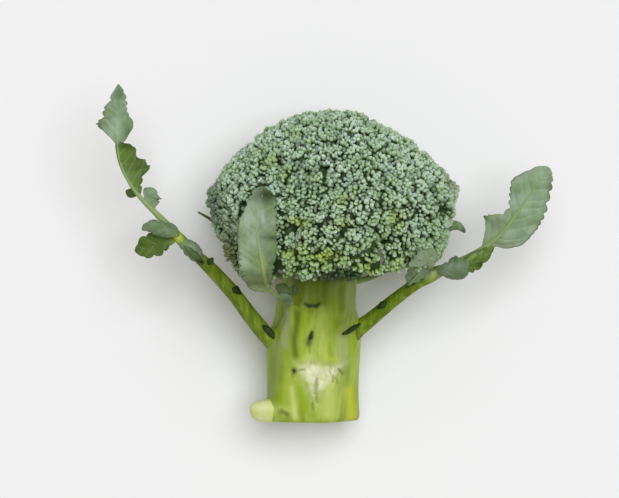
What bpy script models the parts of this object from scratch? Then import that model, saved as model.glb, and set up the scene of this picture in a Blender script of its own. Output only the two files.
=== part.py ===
"""A broccoli head as picked, lying on its side with its crown and its cut stalk on the surface.

The stalk runs along +Y from its cut end to the middle of the crown and rises with it. The crown is a
dome of florets, each on its own branch of the stalk. Leaves grow from the stalk and from under the crown.
The origin is at the bottom centre of the whole part. Blender units are metres.
"""

import math

import bmesh
import bpy
import numpy as np

MM = 0.001
UP = np.array([0.0, 0.0, 1.0])
GOLDEN_ANGLE = math.pi * (3.0 - math.sqrt(5.0))
ALMOST_ZERO = 1e-9
SHARP_ANGLE = math.radians(40.0)  # between faces, from which their edge is shaded sharp

# Crown: a domed cap over a body that narrows downwards, before the bud clusters are raised on it.
CROWN_CENTRE = np.array([0.0058, 0.0330, 0.0555])  # middle of its widest ring
CROWN_LEAN = math.radians(-5.0)  # of the crown's own axis, to the left of +Y seen from above
CROWN_TILT = math.radians(8.0)  # of the crown's own axis, above the surface
CROWN_HALF_WIDTH = 0.0672
CROWN_HALF_DEPTH = 0.0595
CROWN_TOP = 0.0425  # height of the cap above the widest ring
CROWN_SKEW = 0.0050  # how much higher the cap is at its left side, and lower at its right
CROWN_DROP = 0.0385  # depth of the flat underside below the widest ring
CROWN_TAPER = 0.33  # how much half width the body loses for each unit of depth
CROWN_ROUNDING = 12.0  # lower makes a rounder edge between the cap and the body
CROWN_ROUNDNESS = 0.0590  # depth of the ellipsoid that the florets below the ring face out from

# Florets: laid out in a spiral from the top of the crown to its rim.
FLORET_COUNT = 26
FLORET_LAST_ANGLE = math.radians(124.0)  # of the lowest floret, from the crown's axis
FLORET_CROWDING = 1.06  # over 1 sets the florets closer together at the top
FLORET_FIRST_TURN = 0.6
FLORET_DEPTH = 0.0205  # from the crown's surface to a floret's own centre
FLORET_BACK = 0.0085  # from a floret's own centre to its underside
FLORET_GAP = 0.0005
FLORET_ROUNDING = 11.0  # lower makes rounder shoulders between florets
FLORET_CLEARANCE = 1.035  # the stalk is cut back from each floret made this much larger

# Bud clusters: raised on the outside of a floret, larger than a single bud.
CLUSTER_DIRECTIONS = 84  # spread evenly all round a floret's centre
CLUSTER_REACH = 1.06  # a direction has a cluster where the crown's surface is its nearest limit, or nearly
CLUSTER_PEAK = 0.0018
CLUSTER_SHOULDER = 0.0012
CLUSTER_VALLEY = -0.0010
PLAIN_EVERY = 3  # of the directions without a cluster, one in this many is kept

# Stalk: a ribbed trunk, its radius at places along it, and a branch for each floret.
STALK_BASE = np.array([-0.0065, -0.0915, 0.0243])
STALK_LENGTH_SHARE = 0.93  # of the way from the cut end to the crown's centre
STALK_PLACES = (0.00, 0.04, 0.12, 0.22, 0.32, 0.42, 0.52, 0.62, 0.72, 0.86, 1.00)
STALK_RADII = (0.0252, 0.0253, 0.0246, 0.0240, 0.0234, 0.0224, 0.0214, 0.0204, 0.0192, 0.0160, 0.0110)
STALK_SIDES = 28
STALK_RIBS = 5
STALK_RIB_HEIGHT = 0.045  # as a share of the radius
STALK_RIB_TURN = 0.45  # of a full turn of one rib's width, from the cut end to the top
STALK_BEND = -0.0032  # sideways, half way up
STALK_LEAN_SHARE = 0.25  # of its length, over which its rings lean from upright to square with it
BRANCH_FORKS = (0.018, 0.056)  # where the first and the last branch fork, below the crown's centre
BRANCH_RADIUS = 0.0058
BRANCH_END_RADIUS = 0.0082
BRANCH_TAPER_SHARE = 0.6  # of its length, from where it widens towards the floret
BRANCH_HANDLES = (0.30, 0.40)  # of its length, how far it keeps to the trunk's way and to the floret's
BRANCH_POINTS = 6
BRANCH_SIDES = 6
BRANCH_SINK = 0.0020  # how far a branch runs into its floret before it is cut back
TOUCH_GAP = 0.0003
LEAF_FOOT_LENGTH = 0.016  # from a leaf's start back into the trunk
LEAF_FOOT_FLARE = 1.4  # how much wider it is at its root

# Stub of a cut-off leaf at the stalk's foot, with a rounded end.
STUB_POINTS = np.array([[-0.0150, -0.0852, 0.0385], [-0.0335, -0.0855, 0.0362], [-0.0388, -0.0856, 0.0355]])
STUB_RADII = (0.0059, 0.0058, 0.0034)
STUB_SIDES = 8

# Leaves: a round midrib with a thin blade on both sides of it, seen from above in the rows below.
BLADE_THICKNESS = 0.0009
BLADE_COLUMNS = (-1.0, -0.55, 0.0, 0.55, 1.0)  # across the blade, as shares of its reach
BLADE_CUP = 0.10  # how far the blade's edges rise, as a share of their reach
RUFFLE_HEIGHT = 0.0012
RUFFLE_STEP = 2.4  # of the ruffle's wave from one row to the next, in radians
RUFFLE_SLANT = 1.5  # of the same wave from the midrib to the edge
RUFFLE_REACH = 0.006  # a blade narrower than this has lower ruffles
MIDRIB_SMOOTH = 0.5  # share of a midrib point taken from its neighbours
MIDRIB_SIDES = (8, 6)  # of a thick midrib and of a thin one
THICK_MIDRIB = 3.0  # radius in millimetres from which a midrib counts as thick
FRONT_LEAF_CLEARANCE = 0.0060  # of its blade above the crown's surface
RIM_LOBE_CLEARANCE = 0.0060
LIFT_STEPS = 12
LIFT_SLOPE = 0.4  # the flattest slope that a lift reckons with

# Each row is a place on the midrib, in millimetres: x, y, height, then how far the blade reaches
# to the left and to the right of the midrib there, and the radius of the midrib.
LEFT_LEAF = (
    (-31, -44, 40.5, 2.0, 2.0, 4.5),
    (-40, -33, 43, 1.6, 1.6, 4.2),
    (-47, -23, 46, 1.6, 1.6, 4.0),
    (-55, -14, 49, 1.6, 1.6, 3.8),
    (-63, -6, 52, 1.6, 1.6, 3.4),
    (-67, -2, 53, 4.6, 4.0, 3.2),
    (-71, 1, 54, 5.6, 5.6, 3.1),
    (-74, 5, 56, 3.8, 3.8, 2.9),
    (-77, 8, 57, 3.0, 2.2, 2.8),
    (-80, 10.5, 58, 15.0, 3.2, 2.6),
    (-82.5, 13.5, 59, 21.6, 5.0, 2.5),
    (-85.5, 16.5, 60, 18.5, 4.2, 2.4),
    (-88.5, 20, 61, 9.7, 1.8, 2.2),
    (-92, 24, 62, 2.2, 1.8, 2.0),
    (-94, 27, 63, 1.1, 7.0, 1.9),
    (-96, 30, 64, 1.6, 9.7, 1.8),
    (-98, 33, 65, 4.9, 7.6, 1.7),
    (-100.5, 36.5, 66, 1.6, 4.3, 1.6),
    (-103, 41, 67, 1.1, 8.6, 1.5),
    (-105, 46, 69, 1.1, 13.0, 1.4),
    (-107, 51, 70, 1.1, 11.9, 1.3),
    (-108.5, 55, 71, 1.1, 7.6, 1.2),
    (-110, 59.5, 72, 2.2, 4.9, 1.1),
    (-111, 64, 73, 5.4, 10.3, 1.0),
    (-112, 69, 74, 8.6, 11.9, 0.9),
    (-112, 74, 75, 7.0, 8.6, 0.8),
    (-111, 79, 77, 5.9, 7.6, 0.7),
    (-110, 84, 78, 3.8, 4.9, 0.6),
    (-108, 89.5, 79, 0.6, 0.6, 0.5),
)
RIGHT_LEAF = (
    (22.5, -38.6, 41.6, 2.0, 2.0, 4.2),
    (28, -34.2, 43.5, 1.6, 1.6, 3.8),
    (37, -26.5, 47, 1.6, 1.6, 3.5),
    (46.5, -19, 50, 1.6, 1.6, 3.1),
    (54, -13.5, 52, 1.6, 2.0, 2.8),
    (61, -9.5, 54, 2.7, 4.0, 2.6),
    (66, -6.5, 55, 3.2, 7.8, 2.4),
    (71.5, -3.5, 56, 3.2, 7.4, 2.2),
    (77, -1, 57, 2.7, 8.8, 2.0),
    (82, 1.5, 58, 2.7, 6.6, 1.9),
    (86, 4, 59, 4.3, 4.0, 1.8),
    (90, 6.5, 60, 6.5, 3.4, 1.7),
    (95, 10.5, 62, 9.7, 9.4, 1.6),
    (98, 13.5, 63, 12.4, 14.6, 1.5),
    (100.5, 17, 64, 10.3, 13.4, 1.4),
    (103, 21, 65, 6.6, 14.0, 1.3),
    (106, 25, 66, 10.2, 12.4, 1.2),
    (109, 29, 67, 12.4, 12.0, 1.0),
    (111.5, 33, 68, 12.4, 9.8, 0.9),
    (114, 37, 69, 9.2, 8.6, 0.8),
    (117, 41, 69, 6.6, 5.4, 0.6),
    (119, 45, 70, 1.6, 1.6, 0.5),
)
FRONT_LEAF = (
    (-18.5, -26, 61, 1.6, 1.6, 2.6),
    (-21, -24.5, 66, 2.0, 2.0, 2.4),
    (-24, -22.3, 72, 3.0, 3.0, 2.2),
    (-27, -19, 78, 7.5, 6.0, 2.0),
    (-29.5, -14, 82, 13.6, 6.4, 1.8),
    (-30.5, -8, 86, 15.1, 7.2, 1.6),
    (-31, -1, 90, 14.2, 7.6, 1.5),
    (-31, 6, 94, 13.4, 8.4, 1.3),
    (-32, 13, 98, 10.8, 7.8, 1.1),
    (-32, 20.5, 100, 8.6, 7.2, 0.9),
    (-32, 26, 102, 5.2, 5.0, 0.7),
    (-31.5, 30.5, 103, 0.8, 0.8, 0.5),
)
RIM_LOBE = (
    (44, -20.5, 49.5, 1.4, 1.4, 1.2),
    (47, -17.5, 56, 3.0, 3.0, 1.1),
    (50.5, -14.0, 63, 5.0, 4.0, 1.0),
    (53.5, -9.5, 70, 6.0, 4.0, 0.9),
    (56, -4.5, 74, 4.5, 3.0, 0.7),
    (57, 0, 76, 0.8, 0.8, 0.5),
)
LEFT_SLIVER = (
    (-13, -17, 23, 1.6, 1.6, 1.6),
    (-24, -13, 14, 2.4, 2.4, 1.5),
    (-35, -5.5, 11, 3.2, 3.2, 1.4),
    (-45, 4, 14, 3.6, 3.6, 1.3),
    (-53, 12, 19, 3.2, 3.2, 1.1),
    (-61, 18.5, 25, 2.0, 2.0, 0.8),
    (-69, 23, 31, 0.6, 0.6, 0.5),
)
RIGHT_SLIVER = (
    (11, -17, 23, 1.8, 1.8, 1.8),
    (24, -14.5, 15, 2.6, 2.6, 1.6),
    (38, -8.5, 9.5, 3.6, 3.6, 1.5),
    (50, 0.5, 11, 4.0, 4.0, 1.3),
    (60, 9.5, 20, 3.6, 3.6, 1.1),
    (67, 14.5, 27, 3.0, 3.0, 0.9),
    (73.5, 15.5, 31, 2.2, 2.2, 0.7),
    (77.5, 11.5, 32, 0.6, 0.6, 0.5),
)
BUD_GREEN = (0.155, 0.235, 0.125, 1.0)
STALK_GREEN = (0.430, 0.540, 0.150, 1.0)
LEAF_GREEN = (0.150, 0.255, 0.125, 1.0)


def unit(vectors):
    """Vectors scaled to length 1."""
    return vectors / np.linalg.norm(vectors, axis=-1, keepdims=True)


def crown_axes():
    """Unit vectors of the crown, as rows: to its side, up its own axis, and out of its front."""
    up = np.array([
        math.sin(CROWN_LEAN) * math.cos(CROWN_TILT),
        math.cos(CROWN_LEAN) * math.cos(CROWN_TILT),
        math.sin(CROWN_TILT),
    ])
    side = np.array([math.cos(CROWN_LEAN), -math.sin(CROWN_LEAN), 0.0])
    return np.array([side, up, np.cross(side, up)])


AXES = crown_axes()
TRUNK_WAY = unit(CROWN_CENTRE - STALK_BASE)


def first_root(a, b, c):
    """The positive root of a t^2 + 2 b t + c = 0 with c below 0, or infinity where there is none."""
    inside = np.maximum(b * b - a * c, 0.0)
    curved = a > ALMOST_ZERO
    return np.where(curved, (np.sqrt(inside) - b) / np.where(curved, a, 1.0), np.inf)


def plane_distance(gap, towards):
    """How far a plane is along each direction: gap straight to it, or infinity where it turns away."""
    meets = towards > ALMOST_ZERO
    return np.where(meets, gap / np.where(meets, towards, 1.0), np.inf)


def crown_limits(point, directions):
    """Distances from a point inside the crown to its cap, its narrowing body and its underside.

    With the widths scaled to 1, the cap is a paraboloid and the body is a cone.
    """
    scale = 1.0 / np.array([CROWN_HALF_WIDTH, 1.0, CROWN_HALF_DEPTH])
    p = AXES @ (point - CROWN_CENTRE) * scale
    w = directions @ AXES.T * scale
    round_w = w[:, 0] ** 2 + w[:, 2] ** 2
    round_wp = w[:, 0] * p[0] + w[:, 2] * p[2]
    round_p = p[0] ** 2 + p[2] ** 2
    cap = first_root(
        CROWN_TOP * round_w,
        CROWN_TOP * round_wp + 0.5 * (w[:, 1] + CROWN_SKEW * w[:, 0]),
        CROWN_TOP * (round_p - 1.0) + p[1] + CROWN_SKEW * p[0],
    )
    slope = CROWN_TAPER / CROWN_HALF_WIDTH
    reach = 1.0 + slope * p[1]
    body = first_root(
        round_w - (slope * w[:, 1]) ** 2,
        round_wp - slope * w[:, 1] * reach,
        round_p - reach ** 2,
    )
    underside = plane_distance(CROWN_DROP + p[1], -w[:, 1])
    return np.stack([cap, body, underside], -1)


def crown_distance(point, directions):
    """How far it is from a point inside the crown to its surface, in each direction."""
    return soft_least(crown_limits(point, directions), CROWN_ROUNDING)


def soft_least(values, rounding):
    """The least of each row of values, rounded off where two of them are near each other."""
    least = values.min(-1, keepdims=True)
    return least[:, 0] * ((least / values) ** rounding).sum(-1) ** (-1.0 / rounding)


def floret_layout():
    """Each floret's centre and the way that it faces, on a spiral with golden-angle steps."""
    k = np.arange(FLORET_COUNT)
    share = ((k + 0.5) / FLORET_COUNT) ** FLORET_CROWDING
    angle = np.arccos(1.0 - share * (1.0 - math.cos(FLORET_LAST_ANGLE)))
    turn = FLORET_FIRST_TURN + k * GOLDEN_ANGLE
    ball = np.stack([np.sin(angle) * np.cos(turn), np.cos(angle), np.sin(angle) * np.sin(turn)], -1)
    size = np.tile([CROWN_HALF_WIDTH, CROWN_ROUNDNESS, CROWN_HALF_DEPTH], (FLORET_COUNT, 1))
    size[ball[:, 1] > 0.0, 1] = CROWN_TOP
    outward = unit(ball / size) @ AXES
    ways = unit(ball * size) @ AXES
    on_crown = CROWN_CENTRE + ways * crown_distance(CROWN_CENTRE, ways)[:, None]
    centres = on_crown - FLORET_DEPTH * outward
    forks = CROWN_CENTRE - np.outer(np.interp(share, (0.0, 1.0), BRANCH_FORKS), TRUNK_WAY)
    facing = unit(outward + unit(centres - forks))
    return centres, facing, forks


def spread_directions(count, pole):
    """Directions spread evenly over a ball, in a spiral round a pole."""
    k = np.arange(count) + 0.5
    along = 1.0 - 2.0 * k / count
    across = np.sqrt(1.0 - along * along)
    turn = k * GOLDEN_ANGLE
    first = unit(np.cross(pole, AXES[0]))
    second = np.cross(pole, first)
    return (
        along[:, None] * pole
        + (across * np.cos(turn))[:, None] * first
        + (across * np.sin(turn))[:, None] * second
    )


def floret_limits(index, centres, facing, directions):
    """Distances from a floret's centre to the planes half way to its neighbours and to its underside."""
    away = np.delete(centres, index, axis=0) - centres[index]
    far = np.linalg.norm(away, axis=-1)
    towards = directions @ (away / far[:, None]).T
    limits = plane_distance((far - FLORET_GAP) / 2.0, towards)
    back = plane_distance(FLORET_BACK, -(directions @ facing[index]))
    return np.concatenate([limits, back[:, None]], axis=1)


def floret_radius(index, centres, facing, directions, relief):
    """The floret's radius in each direction: a rounded least of the crown's surface and its limits."""
    surface = crown_distance(centres[index], directions) + relief
    limits = floret_limits(index, centres, facing, directions)
    return soft_least(np.concatenate([surface[:, None], limits], axis=1), FLORET_ROUNDING)


def make_material(name, colour, roughness):
    """A plain Principled BSDF."""
    material = bpy.data.materials.new(name)
    material.use_nodes = True
    shader = material.node_tree.nodes["Principled BSDF"]
    shader.inputs["Base Color"].default_value = colour
    shader.inputs["Roughness"].default_value = roughness
    return material


def add_object(name, mesh, collection, material=None):
    """An object for a mesh, in a collection."""
    thing = bpy.data.objects.new(name, mesh)
    collection.objects.link(thing)
    if material is not None:
        mesh.materials.append(material)
    return thing


def mesh_of(bm, name):
    """A mesh from a bmesh, as triangles."""
    bmesh.ops.triangulate(bm, faces=bm.faces)
    mesh = bpy.data.meshes.new(name)
    bm.to_mesh(mesh)
    bm.free()
    return mesh


def floret_mesh(index, centres, facing, swell=1.0):
    """A floret as a closed shell round its centre, with a raised boss of triangles for each bud cluster."""
    directions = spread_directions(CLUSTER_DIRECTIONS, facing[index])
    surface = crown_distance(centres[index], directions)
    nearest = floret_limits(index, centres, facing, directions).min(-1)
    outer = surface < CLUSTER_REACH * nearest
    kept = outer | (np.arange(CLUSTER_DIRECTIONS) % PLAIN_EVERY == 0)

    bm = bmesh.new()
    peaks = set()
    for direction, is_outer in zip(directions[kept], outer[kept]):
        vertex = bm.verts.new(direction)
        if is_outer:
            peaks.add(vertex)
    bmesh.ops.convex_hull(bm, input=bm.verts)
    raised = [face for face in bm.faces if any(vertex in peaks for vertex in face.verts)]
    between = [edge for edge in bm.edges if all(face in raised for face in edge.link_faces)]
    valleys = set(bmesh.ops.poke(bm, faces=raised)["verts"])
    bmesh.ops.rotate_edges(bm, edges=between)
    spokes = [
        edge for edge in bm.edges
        if any(v in peaks for v in edge.verts) and any(v in valleys for v in edge.verts)
    ]
    cut = bmesh.ops.subdivide_edges(bm, edges=spokes, cuts=1)["geom_inner"]
    shoulders = {item for item in cut if isinstance(item, bmesh.types.BMVert)}
    bmesh.ops.triangulate(bm, faces=bm.faces)

    relief = np.zeros(len(bm.verts))
    for number, vertex in enumerate(bm.verts):
        if vertex in peaks:
            relief[number] = CLUSTER_PEAK
        elif vertex in shoulders:
            relief[number] = CLUSTER_SHOULDER
        elif vertex in valleys:
            relief[number] = CLUSTER_VALLEY
    ways = unit(np.array([vertex.co for vertex in bm.verts]))
    points = centres[index] + ways * swell * floret_radius(index, centres, facing, ways, relief)[:, None]
    points[:, 2] = np.maximum(points[:, 2], 0.0)
    for vertex, point in zip(bm.verts, points):
        vertex.co = point
    bmesh.ops.recalc_face_normals(bm, faces=bm.faces)
    return mesh_of(bm, "floret")


def make_florets(collection, material):
    """One object for each floret."""
    centres, facing, _ = floret_layout()
    for index in range(FLORET_COUNT):
        mesh = floret_mesh(index, centres, facing)
        shade_round(add_object(f"floret_{index + 1:02d}", mesh, collection, material))


def tube(name, points, radii, collection, sides):
    """A closed mesh tube through points, with a radius at each."""
    curve = bpy.data.curves.new(name, "CURVE")
    curve.dimensions = "3D"
    curve.bevel_depth = 1.0
    curve.bevel_resolution = sides // 2 - 2
    curve.use_fill_caps = True
    spline = curve.splines.new("POLY")
    spline.points.add(len(points) - 1)
    for place, point, radius in zip(spline.points, points, radii):
        place.co = (*point, 1.0)
        place.radius = radius
    guide = bpy.data.objects.new(name, curve)
    collection.objects.link(guide)
    mesh = solid_copy(guide)
    bpy.data.objects.remove(guide)
    bm = bmesh.new()
    bm.from_mesh(mesh)
    bmesh.ops.remove_doubles(bm, verts=bm.verts, dist=1e-6)
    bmesh.ops.recalc_face_normals(bm, faces=bm.faces)
    return add_object(name, mesh_of(bm, name), collection)


def solid_copy(thing):
    """The mesh of an object with its modifiers applied."""
    bpy.context.view_layer.update()
    graph = bpy.context.evaluated_depsgraph_get()
    return bpy.data.meshes.new_from_object(thing.evaluated_get(graph))


def new_group(name):
    """A collection of helpers in the scene."""
    group = bpy.data.collections.new(name)
    bpy.context.scene.collection.children.link(group)
    return group


def combine(body, group, operation):
    """Joins a collection's objects to body, or cuts them from it, with one Boolean, and removes them."""
    boolean = body.modifiers.new("combine", "BOOLEAN")
    boolean.operation = operation
    boolean.operand_type = "COLLECTION"
    boolean.collection = group
    boolean.solver = "MANIFOLD"
    body.data = solid_copy(body)
    body.modifiers.clear()
    for helper in list(group.objects):
        bpy.data.objects.remove(helper)
    bpy.data.collections.remove(group)


def shade_round(thing):
    """Smooth shading, with edges sharp where faces meet at a steep angle."""
    thing.data.shade_smooth()
    thing.data.set_sharp_from_angle(angle=SHARP_ANGLE)


def trunk_centre(share):
    """A point of the trunk's centre line, with a slight bend to the side."""
    end = STALK_BASE + STALK_LENGTH_SHARE * (CROWN_CENTRE - STALK_BASE)
    bend = STALK_BEND * math.sin(math.pi * share)
    return STALK_BASE + share * (end - STALK_BASE) + np.array([bend, 0.0, 0.0])


def make_trunk(collection, material):
    """The trunk: a cylinder whose rings follow the centre line, with ribs that turn a little on the way up.

    Its cut end stands upright, and the rings lean over to the stalk's own slope from there on.
    """
    bm = bmesh.new()
    bmesh.ops.create_cone(bm, cap_ends=True, segments=STALK_SIDES, radius1=1.0, radius2=1.0, depth=1.0)
    uprights = [edge for edge in bm.edges if abs(edge.verts[0].co.z - edge.verts[1].co.z) > 0.5]
    bmesh.ops.subdivide_edges(bm, edges=uprights, cuts=len(STALK_PLACES) - 2)
    leaning_side = unit(np.cross(TRUNK_WAY, UP))
    leaning_up = np.cross(leaning_side, TRUNK_WAY)
    for vertex in bm.verts:
        level = round((vertex.co.z + 0.5) * (len(STALK_PLACES) - 1))
        share = STALK_PLACES[level]
        turn = math.atan2(vertex.co.y, vertex.co.x)
        rib = STALK_RIB_HEIGHT * math.cos(STALK_RIBS * turn + STALK_RIB_TURN * share * 2.0 * math.pi)
        reach = STALK_RADII[level] * (1.0 + rib)
        lean = min(1.0, share / STALK_LEAN_SHARE)
        side = unit((1.0 - lean) * np.array([1.0, 0.0, 0.0]) + lean * leaning_side)
        upward = unit((1.0 - lean) * UP + lean * leaning_up)
        point = trunk_centre(share) + reach * (math.cos(turn) * side + math.sin(turn) * upward)
        point[2] = max(point[2], 0.0)
        vertex.co = point
    bmesh.ops.recalc_face_normals(bm, faces=bm.faces)
    return add_object("stalk", mesh_of(bm, "stalk"), collection, material)


def branch_line(fork, centre, facing):
    """Points of a floret's branch: it leaves along the trunk and turns to run into the floret."""
    end = centre - facing * (FLORET_BACK - BRANCH_SINK)
    far = np.linalg.norm(end - fork)
    near_fork, near_end = BRANCH_HANDLES
    handles = (fork, fork + near_fork * far * TRUNK_WAY, end - near_end * far * facing, end)
    t = np.linspace(0.0, 1.0, BRANCH_POINTS)[:, None]
    weights = ((1 - t) ** 3, 3 * t * (1 - t) ** 2, 3 * t * t * (1 - t), t ** 3)
    return sum(weight * handle for weight, handle in zip(weights, handles))


def leaf_foot(rows):
    """Where a leaf's midrib starts, the way that it leaves, and its radius there."""
    start = np.array(rows[0][:3]) * MM
    return start, unit(np.array(rows[1][:3]) * MM - start), rows[0][5] * MM


def midrib_sides(rows):
    """How many sides a leaf's midrib has."""
    thick, thin = MIDRIB_SIDES
    return thick if rows[0][5] > THICK_MIDRIB else thin


def make_stalk(collection, material):
    """The stalk in one piece: the trunk, a branch to each floret, the leaves' feet and the stub."""
    trunk = make_trunk(collection, material)
    extras = new_group("stalk extras")
    centres, facing, forks = floret_layout()
    places = np.linspace(0.0, 1.0, BRANCH_POINTS)
    radii = np.interp(places, (BRANCH_TAPER_SHARE, 1.0), (BRANCH_RADIUS, BRANCH_END_RADIUS))
    for index in range(FLORET_COUNT):
        line = branch_line(forks[index], centres[index], facing[index])
        tube(f"branch {index}", line, radii, extras, BRANCH_SIDES)
    tube("stub", STUB_POINTS, STUB_RADII, extras, STUB_SIDES)
    for rows in (LEFT_LEAF, RIGHT_LEAF, FRONT_LEAF, LEFT_SLIVER, RIGHT_SLIVER):
        start, way, radius = leaf_foot(rows)
        line = [start - way * LEAF_FOOT_LENGTH, start - way * TOUCH_GAP]
        tube("leaf foot", line, [LEAF_FOOT_FLARE * radius, radius], extras, midrib_sides(rows))
    combine(trunk, extras, "UNION")
    rooms = new_group("floret rooms")
    for index in range(FLORET_COUNT):
        add_object(f"room {index}", floret_mesh(index, centres, facing, FLORET_CLEARANCE), rooms)
    combine(trunk, rooms, "DIFFERENCE")
    shade_round(trunk)


def smoothed(points):
    """Points moved part of the way to the middle of their neighbours, with the ends kept."""
    middle = (points[:-2] + points[2:]) / 2.0
    out = points.copy()
    out[1:-1] = (1.0 - MIDRIB_SMOOTH) * points[1:-1] + MIDRIB_SMOOTH * middle
    return out


def lift_clear(points, clearance):
    """Raises points straight up, step by step, until they clear the crown."""
    out = points.copy()
    for _ in range(LIFT_STEPS):
        offset = out - CROWN_CENTRE
        ways = unit(offset)
        short = crown_distance(CROWN_CENTRE, ways) + clearance - np.linalg.norm(offset, axis=-1)
        out[:, 2] += np.maximum(short, 0.0) / np.maximum(ways[:, 2], LIFT_SLOPE)
    return out


def make_leaf(name, rows, collection, material, clearance=None):
    """A leaf: a round midrib with a thin, cupped and ruffled blade to its left and right.

    A leaf with a clearance lies that far over the crown, and is flat across.
    """
    table = np.array(rows) * MM
    midrib = smoothed(table[:, :3])
    if clearance is not None:
        midrib = lift_clear(midrib, clearance)
    left = unit(np.cross(UP, np.gradient(midrib, axis=0)))
    last_row = len(rows) - 1
    last_column = len(BLADE_COLUMNS) - 1
    bm = bmesh.new()
    bmesh.ops.create_grid(bm, x_segments=last_row, y_segments=last_column, size=1.0)
    for vertex in bm.verts:
        row = round((vertex.co.x + 1.0) / 2.0 * last_row)
        share = BLADE_COLUMNS[round((vertex.co.y + 1.0) / 2.0 * last_column)]
        reach = table[row, 3] if share > 0.0 else table[row, 4]
        point = midrib[row] + share * reach * left[row]
        if clearance is None:
            wave = math.sin(RUFFLE_STEP * row + RUFFLE_SLANT * share) * min(1.0, reach / RUFFLE_REACH)
            point = point + UP * (BLADE_CUP * reach * share * share + RUFFLE_HEIGHT * wave * abs(share))
        else:
            point = lift_clear(point[None, :], clearance)[0]
        vertex.co = point
    blade = add_object(name, mesh_of(bm, name), collection, material)
    wall = blade.modifiers.new("thickness", "SOLIDIFY")
    wall.thickness = BLADE_THICKNESS
    wall.offset = 0.0
    blade.data = solid_copy(blade)
    blade.modifiers.clear()
    extras = new_group("midrib")
    tube("midrib", midrib, table[:, 5], extras, midrib_sides(rows))
    combine(blade, extras, "UNION")
    return blade


def clear_scene():
    """Removes what the scene holds."""
    for thing in list(bpy.data.objects):
        bpy.data.objects.remove(thing)


def main():
    clear_scene()
    collection = new_group("broccoli_head")
    stalk = make_material("stalk", STALK_GREEN, 0.45)
    buds = make_material("buds", BUD_GREEN, 0.75)
    leaf = make_material("leaf", LEAF_GREEN, 0.6)
    make_stalk(collection, stalk)
    make_florets(collection, buds)
    make_leaf("leaf_left", LEFT_LEAF, collection, leaf)
    make_leaf("leaf_front", FRONT_LEAF, collection, leaf, FRONT_LEAF_CLEARANCE)
    make_leaf("leaf_sliver_left", LEFT_SLIVER, collection, leaf)
    make_leaf("leaf_sliver_right", RIGHT_SLIVER, collection, leaf)
    right = make_leaf("leaf_right", RIGHT_LEAF, collection, leaf)
    lobes = new_group("lobes")
    make_leaf("lobe", RIM_LOBE, lobes, leaf, RIM_LOBE_CLEARANCE)
    combine(right, lobes, "UNION")


main()
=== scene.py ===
"""The looks of a broccoli head that lies on its side, seen from straight above.

Each section makes one kind of piece, from the crown's florets to the stalk, the leaves and the floor.
Lengths are in metres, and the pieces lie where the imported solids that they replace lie.
"""

import math

import bpy
import numpy as np
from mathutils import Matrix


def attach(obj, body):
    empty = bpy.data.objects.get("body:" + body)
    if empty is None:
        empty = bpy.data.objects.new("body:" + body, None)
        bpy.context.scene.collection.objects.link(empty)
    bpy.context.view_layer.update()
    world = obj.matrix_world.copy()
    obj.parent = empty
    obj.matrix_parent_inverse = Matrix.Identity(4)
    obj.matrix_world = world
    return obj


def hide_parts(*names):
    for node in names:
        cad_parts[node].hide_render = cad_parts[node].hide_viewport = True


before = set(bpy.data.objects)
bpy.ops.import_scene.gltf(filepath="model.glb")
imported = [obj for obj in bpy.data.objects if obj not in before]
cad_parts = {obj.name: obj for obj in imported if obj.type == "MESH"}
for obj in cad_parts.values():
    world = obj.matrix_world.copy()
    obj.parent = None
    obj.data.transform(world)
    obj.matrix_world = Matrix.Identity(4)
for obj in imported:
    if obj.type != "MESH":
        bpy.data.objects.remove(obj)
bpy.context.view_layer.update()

# Crown
# A real crown is one dome that its florets make together, packed side by side on the stalk's branches.
# Its form is a domed cap over a body that narrows down to a flat underside. The florets stand where a
# golden-angle spiral meets that form, and the sections below take their places from it.

CROWN_CENTRE = np.array([0.0058, 0.0330, 0.0555])  # middle of its widest ring
CROWN_LEAN = math.radians(-5.0)
CROWN_TILT = math.radians(8.0)
CROWN_HALF_WIDTH = 0.0672
CROWN_HALF_DEPTH = 0.0595
CROWN_TOP = 0.0425
CROWN_SKEW = 0.0050
CROWN_DROP = 0.0385
CROWN_TAPER = 0.33
CROWN_ROUNDING = 12.0
CROWN_ROUNDNESS = 0.0590
FLORET_COUNT = 26
FLORET_LAST_ANGLE = math.radians(124.0)
FLORET_CROWDING = 1.06
FLORET_FIRST_TURN = 0.6
FLORET_DEPTH = 0.0205
BRANCH_FORKS = (0.018, 0.056)
STALK_BASE = np.array([-0.0065, -0.0915, 0.0243])
GOLDEN_ANGLE = math.pi * (3.0 - math.sqrt(5.0))
ALMOST_ZERO = 1e-9


def unit(vectors):
    """Vectors scaled to length 1."""
    return vectors / np.linalg.norm(vectors, axis=-1, keepdims=True)


def crown_axes():
    """Unit vectors of the crown, as rows: to its side, up its own axis, and out of its front."""
    up = np.array([
        math.sin(CROWN_LEAN) * math.cos(CROWN_TILT),
        math.cos(CROWN_LEAN) * math.cos(CROWN_TILT),
        math.sin(CROWN_TILT),
    ])
    side = np.array([math.cos(CROWN_LEAN), -math.sin(CROWN_LEAN), 0.0])
    return np.array([side, up, np.cross(side, up)])


AXES = crown_axes()
TRUNK_WAY = unit(CROWN_CENTRE - STALK_BASE)


def first_root(a, b, c):
    """The positive root of a t^2 + 2 b t + c = 0 with c below 0, or infinity where there is none."""
    inside = np.maximum(b * b - a * c, 0.0)
    curved = a > ALMOST_ZERO
    return np.where(curved, (np.sqrt(inside) - b) / np.where(curved, a, 1.0), np.inf)


def plane_distance(gap, towards):
    """How far a plane is along each direction: gap straight to it, or infinity where it turns away."""
    meets = towards > ALMOST_ZERO
    return np.where(meets, gap / np.where(meets, towards, 1.0), np.inf)


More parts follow.
